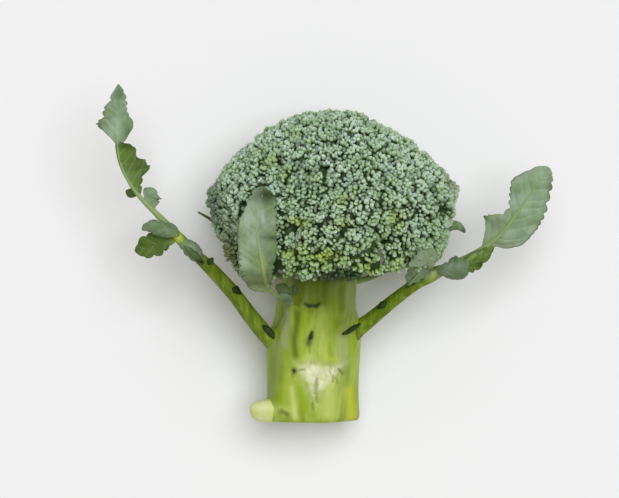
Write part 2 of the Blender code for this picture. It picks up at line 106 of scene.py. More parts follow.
def crown_limits(point, directions):
    """Distances from a point inside the crown to its cap, its narrowing body and its underside.

    With the widths scaled to 1, the cap is a paraboloid and the body is a cone.
    """
    scale = 1.0 / np.array([CROWN_HALF_WIDTH, 1.0, CROWN_HALF_DEPTH])
    p = AXES @ (point - CROWN_CENTRE) * scale
    w = directions @ AXES.T * scale
    round_w = w[:, 0] ** 2 + w[:, 2] ** 2
    round_wp = w[:, 0] * p[0] + w[:, 2] * p[2]
    round_p = p[0] ** 2 + p[2] ** 2
    cap = first_root(
        CROWN_TOP * round_w,
        CROWN_TOP * round_wp + 0.5 * (w[:, 1] + CROWN_SKEW * w[:, 0]),
        CROWN_TOP * (round_p - 1.0) + p[1] + CROWN_SKEW * p[0],
    )
    slope = CROWN_TAPER / CROWN_HALF_WIDTH
    reach = 1.0 + slope * p[1]
    body = first_root(
        round_w - (slope * w[:, 1]) ** 2,
        round_wp - slope * w[:, 1] * reach,
        round_p - reach ** 2,
    )
    underside = plane_distance(CROWN_DROP + p[1], -w[:, 1])
    return np.stack([cap, body, underside], -1)


def soft_least(values, rounding):
    """The least of each row of values, rounded off where two of them are near each other."""
    least = values.min(-1, keepdims=True)
    return least[:, 0] * ((least / values) ** rounding).sum(-1) ** (-1.0 / rounding)


def crown_distance(point, directions):
    """How far it is from a point inside the crown to its surface, in each direction."""
    return soft_least(crown_limits(point, directions), CROWN_ROUNDING)


def floret_layout():
    """Each floret's centre, the way that it faces and its branch's fork, on a golden-angle spiral."""
    k = np.arange(FLORET_COUNT)
    share = ((k + 0.5) / FLORET_COUNT) ** FLORET_CROWDING
    angle = np.arccos(1.0 - share * (1.0 - math.cos(FLORET_LAST_ANGLE)))
    turn = FLORET_FIRST_TURN + k * GOLDEN_ANGLE
    ball = np.stack([np.sin(angle) * np.cos(turn), np.cos(angle), np.sin(angle) * np.sin(turn)], -1)
    size = np.tile([CROWN_HALF_WIDTH, CROWN_ROUNDNESS, CROWN_HALF_DEPTH], (FLORET_COUNT, 1))
    size[ball[:, 1] > 0.0, 1] = CROWN_TOP
    outward = unit(ball / size) @ AXES
    ways = unit(ball * size) @ AXES
    on_crown = CROWN_CENTRE + ways * crown_distance(CROWN_CENTRE, ways)[:, None]
    centres = on_crown - FLORET_DEPTH * outward
    forks = CROWN_CENTRE - np.outer(np.interp(share, (0.0, 1.0), BRANCH_FORKS), TRUNK_WAY)
    return centres, unit(outward + unit(centres - forks)), forks


FLORET_CENTRES, FLORET_FACING, FLORET_FORKS = floret_layout()

# Bud clusters
# A real floret carries small umbels, each a rosette of some twenty closed buds on short stems. The buds
# are 2 mm ovals with a grey wax bloom on their tips, over gaps painted in shade. They grow on the outside
# alone, and from below the umbels' pale stems show, which run together into the floret's branch.

UP = np.array([0.0, 0.0, 1.0])
FLORET_BACK = 0.0085  # from a floret's centre to its underside
FLORET_GAP = 0.0005  # between neighbours
FLORET_ROUNDING = 11.0
CLUSTER_DIRECTIONS = 128  # spread evenly all round a floret's centre
CLUSTER_RISE = 0.0040  # of an umbel's dome over the gap round it
CLUSTER_DIP = 0.0030  # of that gap, below the crown's form
CLUSTER_UNEVEN = 0.0014  # how much umbels differ in height
FLORET_UNEVEN = 0.0015  # how much whole florets do
CLUSTER_SCATTER = 0.075  # how far umbels lie off the even spread, in radians
CLUSTER_REACH = 1.16  # how near a neighbour's plane the buds still grow
BARE_FADE = 0.25  # how much further on there are only bare stems
CORE_SINK = 0.0022  # of the skin below the buds' widest part
CORE_ROWS, CORE_COLUMNS = 56, 72
STEM_PULL = 0.06  # how far the underside draws in towards the floret's centre
STEM_RIDGES = 17
STEM_RIDGE_HEIGHT = 0.0011
BUDS_TRIED = 30  # places in each umbel's spiral, from its middle out
BUD_SPACING = 0.00096  # of that spiral: its radius grows with the square root of the bud's number
BUD_RADIUS = 0.00128
BUD_LENGTH = 0.0046
BUD_LENGTHS = (0.92, 1.08)  # the shortest and longest, as shares of it
BUD_SUNK = 0.64  # share of it that is below the umbel's form
BUD_FLATNESS = 0.34  # how far its section is off a circle
BUD_UNEVEN = 0.0007  # how much buds of an umbel differ in height
BUD_SPLAY = 1.6
BUD_TILT = 0.36
BUD_JITTER = 0.014  # how far it lies off the spiral, in radians
BUD_EDGE = 0.93  # share of the way to the next umbel where buds end
BUD_BARE = 0.25  # share of bare stems where they end
BUD_SIDES = 5
BUD_SIZES = (0.66, 1.26)
BUD_PROFILE = ((0.36, 0.48), (0.60, 0.98), (0.80, 0.88), (0.94, 0.48))  # heights and widths
BUD_TIP = 1.0
MM = 0.001
YOUNG_FIELDS = (  # where the crown is younger: x, y and half sizes in millimetres, and strength
    (1, -1, 9, 3.8, 1), (-12.8, 16, 6, 3.6, 0.8), (-16.5, 0.5, 6.5, 4, 0.75), (9.6, 27.4, 4.5, 3.2, 0.6),
    (37.3, 18, 4.2, 5.5, 0.7), (10.2, 14.9, 5.5, 3.8, 0.65), (40.4, -4.9, 4.5, 3.5, 0.5),
    (23.7, -6.5, 5.5, 3.5, 0.7), (-28.4, 47.2, 4.5, 3.5, 0.4), (-20, 39.9, 4.5, 3, 0.3),
    (-54.9, 47.6, 4, 4.5, 0.45), (-13.8, 62.9, 3.5, 2.8, 0.45),
)
OLIVE_BUD_FIELDS = (  # where its rim is worn and olive brown
    (-50.6, 0.8, 5, 10, 0.9), (68.8, 40, 4.5, 9, 0.7),
)
PAINTED_SHADE_FIELDS = (  # painted shade: nearly black where its lower edge turns under, darker on its flanks and in a few clefts
    (7.6, -12.6, 8.8, 4, 2.6), (-12, -12, 2.6, 2, 0.9), (20, -13, 2.4, 3.4, 2), (33, -11.2, 6, 2.2, 0.8),
    (-57, 26, 11, 26, 0.85), (-45, 0, 7, 14, 0.6), (-10, -6, 12, 3, 0.55), (48, 6, 9, 6, 0.6),
    (-13, 42, 3, 2.5, 0.6), (-2, 31, 6, 1.6, 0.6),
)
FIELD_DEPTH = 0.020  # how far below the crown's middle such patches reach

rng = np.random.default_rng(26)
FLORET_RAISES = rng.uniform(-FLORET_UNEVEN, FLORET_UNEVEN, FLORET_COUNT)


def round_ways(turn, first, second):
    """Directions at some turns round a circle, from one unit vector towards another square to it."""
    return np.cos(turn)[..., None] * first + np.sin(turn)[..., None] * second


def spread_directions(count, pole):
    """Directions spread evenly over a ball, in a golden-angle spiral round a pole."""
    k = np.arange(count) + 0.5
    along = (1.0 - 2.0 * k / count)[:, None]
    first = unit(np.cross(pole, AXES[0]))
    round_way = round_ways(k * GOLDEN_ANGLE, first, np.cross(pole, first))
    return along * pole + np.sqrt(1.0 - along * along) * round_way


def floret_limits(index, directions):
    """Distances from a floret's centre to the planes half way to its neighbours and to its underside."""
    away = np.delete(FLORET_CENTRES, index, axis=0) - FLORET_CENTRES[index]
    far = np.linalg.norm(away, axis=-1)
    towards = directions @ (away / far[:, None]).T
    limits = plane_distance((far - FLORET_GAP) / 2.0, towards)
    back = plane_distance(FLORET_BACK, -(directions @ FLORET_FACING[index]))
    return np.concatenate([limits, back[:, None]], axis=1)


def umbel_relief(directions, umbels, heights):
    """Height of the umbels' domes over the crown's form, and each direction's own umbel and share.

    The share q is the angle to the nearest umbel over that to the second nearest: 0 in its middle and 1
    half way between two. The height is rise times 1 - q^3, less the dip.
    """
    angles = np.arccos(np.clip(directions @ umbels.T, -1.0, 1.0))
    nearest = angles.argmin(-1)
    two = np.partition(angles, 1, axis=-1)[:, :2]
    share = two[:, 0] / two[:, 1]
    relief = (CLUSTER_RISE + heights[nearest]) * (1.0 - share ** 3) - CLUSTER_DIP
    return relief, nearest, share


def floret_skin(index, directions, umbels, heights):
    """Radius of the floret's skin in each direction, the share of it that is bare stems, and more.

    The radius is the rounded least of the crown's form with its relief, the neighbours' planes and the
    floret's back, drawn in where only stems show. It also gives each direction's umbel and share.
    """
    centre = FLORET_CENTRES[index]
    crown = crown_limits(centre, directions)
    outside = crown[:, :2].min(-1)
    limits = floret_limits(index, directions)
    past = outside / np.minimum(limits.min(-1), crown[:, 2]) - CLUSTER_REACH
    stems = np.clip(past / BARE_FADE, 0.0, 1.0)
    relief, nearest, share = umbel_relief(directions, umbels, heights + FLORET_RAISES[index])
    surface = soft_least(crown, CROWN_ROUNDING) + relief * (1.0 - stems)
    radius = soft_least(np.concatenate([surface[:, None], limits], axis=1), FLORET_ROUNDING)
    return radius * (1.0 - STEM_PULL * stems), stems, nearest, share


def ring_directions(pole, rows, columns):
    """Directions over a ball as rings from pole to pole, without the two poles themselves."""
    angle = (np.arange(rows) + 0.5) / rows * math.pi
    turn = np.arange(columns) / columns * 2.0 * math.pi
    first = unit(np.cross(pole, AXES[0] + 0.2 * UP))
    round_way = round_ways(turn, first, -np.cross(pole, first))
    return np.cos(angle)[:, None, None] * pole + np.sin(angle)[:, None, None] * round_way, turn


def closed_skin(rings):
    """Points and triangles of a skin through rings of points, each end closed on its middle point.

    Seen along the rings' path, from the first ring to the last, each ring's points run clockwise.
    """
    rows, columns = rings.shape[:2]
    points = np.concatenate([rings.reshape(-1, 3), rings[[0, -1]].mean(1)])
    row, column = np.meshgrid(np.arange(rows - 1), np.arange(columns), indexing="ij")
    here = (row * columns + column).ravel()
    beside = (row * columns + (column + 1) % columns).ravel()
    sides = np.concatenate([
        np.stack([here, beside, beside + columns], -1),
        np.stack([here, beside + columns, here + columns], -1),
    ])
    edge = np.arange(columns)
    turned = (edge + 1) % columns
    first = np.stack([np.full(columns, rows * columns), turned, edge], -1)
    last = np.stack([np.full(columns, rows * columns + 1), edge, turned], -1) + [
        0, (rows - 1) * columns, (rows - 1) * columns
    ]
    return points, np.concatenate([sides, first, last])


def end_values(values):
    """A closed skin's values at its points: those on its rings, then the mean of each end ring."""
    return np.concatenate([values.ravel(), values[[0, -1]].mean(1)])


def bud_shape():
    """Points and triangles of one closed bud of height and radius 1: rings of its profile, and a tip."""
    turn = np.arange(BUD_SIDES) / BUD_SIDES * 2.0 * math.pi
    profile = np.array(BUD_PROFILE)
    rings = np.stack([
        profile[:, 1, None] * np.cos(turn),
        profile[:, 1, None] * np.sin(turn),
        np.repeat(profile[:, :1], BUD_SIDES, axis=1),
    ], -1)
    points, triangles = closed_skin(rings)
    points[-1, 2] = BUD_TIP
    return points, triangles


def fields_at(places, fields):
    """The sum of some soft oval fields at each place, seen from above: their strengths in their middles."""
    out = np.zeros(len(places))
    for centre_x, centre_y, half_x, half_y, strength in fields:
        far = ((places[:, 0] - centre_x) / half_x) ** 2 + ((places[:, 1] - centre_y) / half_y) ** 2
        out += strength * np.exp(-far)
    return out


def place_buds(index, umbels, heights):
    """Places and ways of a floret's buds, the umbel that each is of, and its share of the way to the next.

    In each umbel the buds lie on a sunflower spiral: bud k lies at a golden angle from the one before, at
    a distance of spacing times the square root of k. Buds past the umbel's own edge, or where the floret
    is bare, are left out. Each bud leans out from its umbel's middle.
    """
    centre = FLORET_CENTRES[index]
    reach = crown_distance(centre, umbels)
    k = np.arange(BUDS_TRIED) + 0.4
    turn = k * GOLDEN_ANGLE + rng.uniform(0.0, 2.0 * math.pi, len(umbels))[:, None]
    angle = (BUD_SPACING * np.sqrt(k) / reach[:, None])[..., None]
    first = unit(np.cross(umbels, FLORET_FACING[index] + 0.01 * AXES[0]))
    round_way = round_ways(turn, first[:, None], np.cross(umbels, first)[:, None])
    ways = np.cos(angle) * umbels[:, None] + np.sin(angle) * round_way
    own = np.repeat(np.arange(len(umbels)), BUDS_TRIED)
    ways = unit(ways.reshape(-1, 3) + rng.normal(0.0, BUD_JITTER, (len(own), 3)))
    radius, stems, nearest, share = floret_skin(index, ways, umbels, heights)
    kept = (nearest == own) & (share < BUD_EDGE) & (stems < BUD_BARE)
    ways, radius, share, own = ways[kept], radius[kept], share[kept], own[kept]
    lean = ways + BUD_SPLAY * (ways - umbels[own]) + rng.normal(0.0, BUD_TILT, ways.shape)
    return centre + ways * radius[:, None], unit(lean), own, share


def bud_field(places, ways):
    """Points, triangles, height shares and random tones of a floret's buds, as one mesh."""
    shape, triangles = bud_shape()
    count = len(places)
    first = unit(np.cross(ways, AXES[0] + 0.31 * AXES[2]))
    second = np.cross(ways, first)
    turned = rng.uniform(0.0, math.pi, count)
    first, second = round_ways(turned, first, second), round_ways(turned, second, -first)
    size = rng.uniform(*BUD_SIZES, count)
    radius = BUD_RADIUS * size
    flatness = rng.uniform(1.0 - BUD_FLATNESS, 1.0 + BUD_FLATNESS, count)
    length = BUD_LENGTH * rng.uniform(*BUD_LENGTHS, count)
    foot = places - ways * (BUD_SUNK * BUD_LENGTH + rng.uniform(-BUD_UNEVEN, BUD_UNEVEN, count)[:, None])
    points = (
        foot[:, None]
        + ((radius * flatness)[:, None] * shape[:, 0])[..., None] * first[:, None]
        + ((radius / flatness)[:, None] * shape[:, 1])[..., None] * second[:, None]
        + (length[:, None] * shape[:, 2])[..., None] * ways[:, None]
    )
    numbers = triangles[None] + np.arange(count)[:, None, None] * len(shape)
    height = np.tile(shape[:, 2], count)
    tone = np.repeat(rng.uniform(0.0, 1.0, count), len(shape))
    return points.reshape(-1, 3), numbers.reshape(-1, 3), height, tone


def make_piece(name, points, triangles, material, values):
    """A smooth mesh object at the origin, with a number at each point for each named value."""
    mesh = bpy.data.meshes.new(name)
    mesh.vertices.add(len(points))
    mesh.vertices.foreach_set("co", points.astype(np.float32).ravel())
    mesh.loops.add(triangles.size)
    mesh.loops.foreach_set("vertex_index", triangles.astype(np.int32).ravel())
    mesh.polygons.add(len(triangles))
    mesh.polygons.foreach_set("loop_start", np.arange(0, triangles.size, 3, dtype=np.int32))
    mesh.polygons.foreach_set("use_smooth", np.ones(len(triangles), bool))
    for label, numbers in values.items():
        layer = mesh.attributes.new(label, "FLOAT", "POINT")
        layer.data.foreach_set("value", numbers.astype(np.float32))
    mesh.update(calc_edges=True)
    mesh.materials.append(material)
    piece = bpy.data.objects.new(name, mesh)
    bpy.context.scene.collection.objects.link(piece)
    return piece


def set_inputs(tree, node, inputs):
    """A node with its inputs linked to sockets or set to values."""
    for name, value in inputs.items():
        if isinstance(value, bpy.types.NodeSocket):
            tree.links.new(value, node.inputs[name])
        else:
            node.inputs[name].default_value = value
    return node


def add_node(tree, kind, inputs, **settings):
    """A new node of a tree, with its settings and inputs."""
    node = tree.nodes.new(kind)
    for name, value in settings.items():
        setattr(node, name, value)
    return set_inputs(tree, node, inputs)


def mix(tree, share, first, second):
    """The colour between two others, by a share."""
    return add_node(tree, "ShaderNodeMix", {0: share, 6: first, 7: second}, data_type="RGBA").outputs[2]


def reckon(tree, operation, *values):
    """The result of a Math node."""
    return add_node(tree, "ShaderNodeMath", dict(enumerate(values)), operation=operation).outputs[0]


def times(tree, first, second):
    """Two values multiplied."""
    return reckon(tree, "MULTIPLY", first, second)


def rise(tree, value, low, high):
    """A smooth rise from 0 to 1 as a value goes from low to high."""
    inputs = {"Value": value, "From Min": low, "From Max": high}
    return add_node(tree, "ShaderNodeMapRange", inputs, interpolation_type="SMOOTHSTEP").outputs["Result"]


def noise(tree, place, scale, detail=3.0, roughness=0.55):
    """A cloudy value round 0.5, at a scale in features per metre."""
    inputs = {"Vector": place, "Scale": scale, "Detail": detail, "Roughness": roughness}
    return add_node(tree, "ShaderNodeTexNoise", inputs).outputs["Fac"]


def value_at(tree, label):
    """A named value of the mesh."""
    return add_node(tree, "ShaderNodeAttribute", {}, attribute_name=label).outputs["Fac"]


def coat(tree, colour, label, paint, strength=1.0):
    """A colour with a paint laid over it where a named value of the mesh is high."""
    return mix(tree, times(tree, value_at(tree, label), strength), colour, paint)


def new_group(name, inputs, outputs):
    """A shader node group, with the sockets that its inputs come from and those that its outputs go to."""
    group = bpy.data.node_groups.new(name, "ShaderNodeTree")
    for direction, sockets in (("INPUT", inputs), ("OUTPUT", outputs)):
        for label, kind in sockets.items():
            group.interface.new_socket(label, in_out=direction, socket_type="NodeSocket" + kind)
    return group, group.nodes.new("NodeGroupInput").outputs, group.nodes.new("NodeGroupOutput").inputs


def use_group(tree, group, **inputs):
    """The output of a group placed in a material."""
    return add_node(tree, "ShaderNodeGroup", inputs, node_tree=group).outputs[0]


def wax_bloom_group():
    """Patchy wax bloom: a paler, greyer colour laid over a skin in clouds."""
    group, given, made = new_group(
        "Wax bloom",
        {"Place": "Vector", "Skin": "Color", "Bloom": "Color", "Amount": "Float", "Scale": "Float"},
        {"Color": "Color"},
    )
    cloud = noise(group, given["Place"], given["Scale"], 4.0, 0.6)
    mask = times(group, rise(group, cloud, 0.35, 0.65), given["Amount"])
    group.links.new(mix(group, mask, given["Skin"], given["Bloom"]), made["Color"])
    return group


WAX_BLOOM = wax_bloom_group()


def principled(name):
    """A new material, its tree, its Principled BSDF and the Object coordinates in it."""
    material = bpy.data.materials.new(name)
    material.use_nodes = True
    tree = material.node_tree
    place = tree.nodes.new("ShaderNodeTexCoord").outputs["Object"]
    return material, tree, tree.nodes["Principled BSDF"], place


BUD_GAP_SHADE_GREEN = (0.110, 0.180, 0.060, 1.0)
BUD_BODY_GREEN = (0.225, 0.355, 0.145, 1.0)
BUD_LOW_GREEN = (0.150, 0.265, 0.020, 1.0)
BUD_PAINTED_SHADE_GREEN = (0.022, 0.048, 0.010, 1.0)
BUD_TIP_GREEN = (0.440, 0.580, 0.400, 1.0)
BUD_WAX_GREY = (0.620, 0.740, 0.640, 1.0)
BUD_WAX_BLUE = (0.400, 0.550, 0.480, 1.0)
BUD_YELLOW_GREEN = (0.380, 0.520, 0.050, 1.0)
BUD_OLIVE_BROWN = (0.190, 0.190, 0.070, 1.0)
LOWER_EDGE, UPPER_EDGE = -0.020, 0.050  # along Y, between which the crown turns from darker and greener to paler and greyer
STEM_GREEN = (0.330, 0.450, 0.150, 1.0)


def bud_material():
    """Painted shade in gaps, green flanks, grey waxy tips, darker and less grey low down, yellower and worn
    patches.
    """
    material, tree, shader, place = principled("waxy buds")
    height, tone, hue = value_at(tree, "height"), value_at(tree, "tone"), value_at(tree, "hue")
    along = add_node(tree, "ShaderNodeSeparateXYZ", {"Vector": place}).outputs["Y"]
    body = mix(tree, rise(tree, along, LOWER_EDGE, -LOWER_EDGE), BUD_LOW_GREEN, BUD_BODY_GREEN)
    # Painted shade: each bud darkens towards its foot, down in the gaps.
    bud = mix(tree, rise(tree, height, 0.30, 0.66), BUD_GAP_SHADE_GREEN, body)
    tip = mix(tree, times(tree, tone, 0.60), BUD_TIP_GREEN, body)
    bud = mix(tree, rise(tree, height, 0.60, 0.92), bud, tip)
    wax = mix(tree, rise(tree, hue, 0.45, 1.0), BUD_WAX_GREY, BUD_WAX_BLUE)
    upper = reckon(tree, "ADD", 0.20, rise(tree, along, LOWER_EDGE, UPPER_EDGE))
    amount = times(tree, times(tree, rise(tree, height, 0.62, 0.98), 0.80), upper)
    colour = use_group(tree, WAX_BLOOM, Place=place, Skin=bud, Bloom=wax, Scale=70.0, Amount=amount)
    lit = times(tree, rise(tree, height, 0.25, 0.85), 0.85)
    colour = coat(tree, colour, "young", BUD_YELLOW_GREEN, lit)
    colour = coat(tree, colour, "olive", BUD_OLIVE_BROWN, lit)
    # Painted shade: buds at their umbel's edge, in the shade fields' patches and on the core go nearly
    # black.
    deep = times(tree, rise(tree, value_at(tree, "deep"), 0.44, 1.10), 0.92)
    colour = mix(tree, deep, colour, BUD_PAINTED_SHADE_GREEN)
    stems = mix(tree, noise(tree, place, 300.0), STEM_GREEN, BUD_BODY_GREEN)
    colour = coat(tree, colour, "stem", stems)
    set_inputs(tree, shader, {"Base Color": colour, "Roughness": 0.60, "Specular IOR Level": 0.25})
    return material


bud_skin = bud_material()
for index in range(FLORET_COUNT):
    umbels = spread_directions(CLUSTER_DIRECTIONS, FLORET_FACING[index])
    umbels = unit(umbels + rng.normal(0.0, CLUSTER_SCATTER, umbels.shape))
    heights = rng.uniform(-CLUSTER_UNEVEN, CLUSTER_UNEVEN, CLUSTER_DIRECTIONS)
    around, turn = ring_directions(FLORET_FACING[index], CORE_ROWS, CORE_COLUMNS)
    radius, stems, _, _ = floret_skin(index, around.reshape(-1, 3), umbels, heights)
    radius = radius.reshape(around.shape[:2]) - CORE_SINK
    stems = stems.reshape(around.shape[:2])
    radius -= STEM_RIDGE_HEIGHT * stems * (1.0 - np.cos(STEM_RIDGES * turn))
    core, core_triangles = closed_skin(FLORET_CENTRES[index] + around * radius[..., None])
    places, ways, own, share = place_buds(index, umbels, heights)
    buds, bud_triangles, height, tone = bud_field(places, ways)
    facing_up = places[:, 2] > CROWN_CENTRE[2] - FIELD_DEPTH
    on_buds = {
        "hue": rng.uniform(0.0, 1.0, CLUSTER_DIRECTIONS)[own],
        "young": facing_up * np.minimum(fields_at(places / MM, YOUNG_FIELDS), 1.0),
        "olive": facing_up * np.minimum(fields_at(places / MM, OLIVE_BUD_FIELDS), 1.0),
        # deep is painted shade: it grows towards the umbel's edge, and the shade fields add to it.
        "deep": np.maximum(share, facing_up * fields_at(places / MM, PAINTED_SHADE_FIELDS)),
    }
    on_buds = {label: np.repeat(numbers, len(buds) // len(places)) for label, numbers in on_buds.items()}
    on_buds |= {"height": height, "tone": tone, "stem": np.zeros(len(buds))}
    on_core = dict.fromkeys(on_buds, np.zeros(len(core)))
    # The core under the buds is painted mostly in shade, save where only its stems show.
    on_core |= {"stem": end_values(stems), "deep": np.ones(len(core))}
    points = np.concatenate([core, buds])
    points[:, 2] = np.maximum(points[:, 2], 0.0)
    triangles = np.concatenate([core_triangles, bud_triangles + len(core)])
    values = {label: np.concatenate([on_core[label], on_buds[label]]) for label in on_buds}
    floret = make_piece(f"bud_head_{index + 1:02d}", points, triangles, bud_skin, values)
    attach(floret, "root")
    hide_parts(f"floret_{index + 1:02d}")

# Stalk
# The real stalk is a thick stem with a crisp green skin, ribbed below each leaf and marked by old leaves
# and tiny buds. A knife cut its foot square. It is one skin here: rings along its centre line, with its
# radius worked out all round each ring, closed by the cut face.

SIDEWAYS = np.array([1.0, 0.0, 0.0])
STALK_LENGTH_SHARE = 0.93
STALK_PLACES = (0.00, 0.04, 0.12, 0.22, 0.32, 0.42, 0.52, 0.62, 0.72, 0.86, 1.00)
STALK_RADII = (0.0252, 0.0253, 0.0246, 0.0240, 0.0234, 0.0224, 0.0214, 0.0204, 0.0192, 0.0160, 0.0110)
STALK_RIBS = 5
STALK_RIB_HEIGHT = 0.045
STALK_RIB_TURN = 0.45
STALK_BEND = -0.0032
STALK_LEAN_SHARE = 0.25
STALK_ROWS, STALK_COLUMNS = 240, 300
CUT_ROWS = 24
CUT_RIM = 0.0010  # how far the cut's edge is rounded off
FOOT_SWELL = 0.0036  # of the stalk's skin below each leaf stalk
FOOT_HALF_WIDTH = 0.0065
FOOT_ABOVE = 0.005
FOOT_BELOW = 0.028
LEAF_FEET = np.array([[-0.031, -0.044, 0.0405], [0.0225, -0.0386, 0.0416], [-0.0125, -0.0295, 0.0660]])
SCAR_CORNERS = np.array([[-0.0140, -0.0592], [-0.0043, -0.0790], [0.0108, -0.0602]])
SCAR_SOFTNESS = 0.0010
SCAR_DEPTH = 0.0005
MARK_DEPTH = 0.0005
SKIN_WAVE = 0.0007  # how far the marks and streaks wave off their lines
SKIN_WAVE_LENGTHS = (0.0043, 0.0031)
UNEVEN_RIBS = 0.010  # finer ribs that come and go along the stalk, as shares of its radius
FINE_RIBS = 0.004
CUT_HOLLOW = 0.0006  # how far the cut's edge stands past its middle
CUT_RIPPLE = 0.0003  # of the knife's marks
CUT_RIM_SHARE = 0.02  # of the stalk's length and of the cut's radius
SKIN_SWELLS = (  # lines it rises or sinks along, in millimetres: both ends, half width and height
    (-9.7, -10, -9.2, -21, 6.5, 1.7), (8.3, -12, 8.3, -32, 5, 1.3), (-0.6, -12, -1, -27, 2.2, -1),
    (-20, -31, -20, -50, 2, 0.5), (-15, -31, -15.2, -54, 2.2, -0.5), (-27, -20, -26, -33, 5, -2.4),
    (-10, -66, -11, -84, 3, 0.5), (-3.2, -67, -3.2, -81, 0.9, -0.9), (-14, -59, -5, -82, 1.2, -0.4),
    (10.8, -60, -2, -82, 1.2, -0.4),
)
SKIN_ZONES = {  # lines that each colour is strongest on: both ends, half width, and strength
    # olive: its own olive stripes, and painted shade on its top under the crown's overhang
    "olive": (
        (-9.7, -10, -9.2, -24, 6.5, 1.1), (-14.6, -31.7, -15.2, -54, 2.3, 0.95),
        (10.3, -18.7, 9.2, -29.6, 1.6, 0.7), (8.1, -14.4, 8.1, -36, 8, 0.7),
        (-23.8, -29.6, -26.5, -40.4, 1.7, 0.7), (-27.6, -49.6, -27.1, -77, 3.2, 0.45),
        (-1, -10, -1, -23, 5, 1), (18, -14, 19, -30, 3, 0.4), (-6, -30, -5, -42, 5, 0.25),
        (5, -62, 12, -64, 2, 0.25), (-23, -62, -23, -70, 1.5, 0.3),
    ),
    # grey: its own grey-lilac streak, and painted bounce light along the stalk's left side
    "grey": (
        (-20, -31.7, -20, -50, 1.8, 0.95), (-25.5, -50, -24.5, -74, 2.6, 0.45),
        (9.8, -45.8, 10.3, -58, 3.4, 0.6), (14, -22, 15, -36, 3, 0.45),
    ),
    # pale: painted highlights along the stalk's lit top, and some paler patches of its own
    "pale": (
        (-16.2, -72, -15.7, -88, 1.7, 0.9), (-0.5, -34, -1.6, -52, 3.4, 0.3),
        (3.8, -71, 2.7, -86, 4.6, 0.6), (-12, -55, -6, -56.5, 2.4, 0.5), (-25, -84.5, -20, -84.5, 3, 0.8),
        (-16.2, -62, -21, -66, 2, 0.2),
    ),
    "bright": (
        (-9.7, -68, -10.8, -85, 2.4, 0.9), (-21.7, -62, -22.2, -82, 3, 0.75),
        (15.7, -46, 15.2, -60, 1.7, 0.9), (-10.8, -52.3, -17.9, -58.8, 2.8, 0.7),
        (-11.5, -32, -11.5, -46, 1.6, 0.6), (5, -36, 6, -50, 2, 0.5),
    ),
    "yellow": (
        (14.7, -75, 14.9, -90, 3, 0.95), (1.1, -55.6, 6.5, -56.7, 1.4, 0.5), (19.5, -20, 19, -38, 1, 0.8),
    ),
    "brown": (
        (-3.2, -68.1, -3.4, -80.5, 0.9, 0.6), (-5.7, -81.6, -5.9, -84.3, 0.5, 0.8),
        (8.1, -62.1, 10.3, -65.4, 0.6, 0.9), (5.4, -65.4, 6, -68.6, 0.5, 0.7),
        (3.2, -62.7, 4.3, -64.8, 0.4, 0.6), (-13.6, -62.6, -10.8, -62.4, 0.6, 0.6),
        (-19.5, -19.3, -12.4, -25.2, 0.6, 0.7), (7.2, -66.5, 8.4, -70, 0.4, 0.6),
        (-26.8, -79, -24.5, -88, 0.8, 0.3),
    ),
    # dark: its own dots and small bud, and painted shade under the crown's edge, in a slit and by a branch
    "dark": (
        (-9.5, -26.8, -7.6, -28.6, 0.8, 1), (-7.6, -28.6, -4, -29, 1.05, 1),
        (-4, -29, -1.8, -27.4, 0.8, 1), (-5.8, -43.2, -6, -45.6, 1.1, 1),
        (-6.3, -46, -7, -48.8, 1.8, 0.8), (-14, -12, -3, -12, 2.5, 0.6), (-7, -50.5, -7, -54, 0.5, 0.3),
        (-16.6, -62.4, -16.2, -62.9, 1.4, 1), (-16.8, -64.5, -16.9, -66, 0.8, 0.3),
        (-23, -86.2, -20.2, -87, 1.5, 0.6), (-3, -10.5, 17, -11.5, 3.2, 1.1),
        (-26, -17, -13.5, -27, 0.8, 0.6),
    ),
}


def trunk_frame(share):
    """Centre points of the trunk's rings and the two unit vectors that each ring lies in."""
    end = STALK_BASE + STALK_LENGTH_SHARE * (CROWN_CENTRE - STALK_BASE)
    bend = STALK_BEND * np.sin(math.pi * share)
    centre = STALK_BASE + share[:, None] * (end - STALK_BASE) + bend[:, None] * SIDEWAYS
    leaning_side = unit(np.cross(TRUNK_WAY, UP))
    leaning_up = np.cross(leaning_side, TRUNK_WAY)
    lean = np.minimum(1.0, share / STALK_LEAN_SHARE)[:, None]
    side = unit((1.0 - lean) * SIDEWAYS + lean * leaning_side)
    upward = unit((1.0 - lean) * UP + lean * leaning_up)
    return centre, side, upward


def stroke(x, y, line):
    """A value along a short line given in millimetres: its strength on it, falling away past its width."""
    start, end = np.array(line[:2]) * MM, np.array(line[2:4]) * MM
    way = end - start
    along = np.clip(((x - start[0]) * way[0] + (y - start[1]) * way[1]) / (way @ way), 0.0, 1.0)
    gap = np.hypot(x - start[0] - along * way[0], y - start[1] - along * way[1])
    return line[5] * np.exp(-((gap / (line[4] * MM)) ** 2))


def inside_corners(x, y, corners, soft):
    """A mask of a triangle, with corners in clockwise order: 1 well inside it, 0 well outside."""
    gap = np.full(x.shape, np.inf)
    for start, end in zip(corners, np.roll(corners, -1, axis=0)):
        way = (end - start) / np.linalg.norm(end - start)
        gap = np.minimum(gap, way[0] * (y - start[1]) - way[1] * (x - start[0]))
    return 1.0 / (1.0 + np.exp(-gap / soft))


def foot_swelling(share, turn):
    """How far the trunk swells towards its leaves' feet: a short rise above each and a long ridge below."""
    centre, side, upward = trunk_frame(share)
    length = np.linalg.norm(centre[-1] - centre[0])
    swell = 0.0
    for foot in LEAF_FEET:
        level = (foot - STALK_BASE) @ TRUNK_WAY / length
        nearest = np.abs(share - level).argmin()
        away = foot - centre[nearest]
        foot_turn = math.atan2(away @ upward[nearest], away @ side[nearest])
        radius = np.interp(share, STALK_PLACES, STALK_RADII)[:, None]
        across = ((turn[None] - foot_turn + math.pi) % (2.0 * math.pi) - math.pi) * radius
        past = (share - level)[:, None] * length
        along = np.where(past > 0.0, past / FOOT_ABOVE, past / FOOT_BELOW)
        swell = swell + FOOT_SWELL * np.exp(-((across / FOOT_HALF_WIDTH) ** 2) - along ** 2)
    return swell


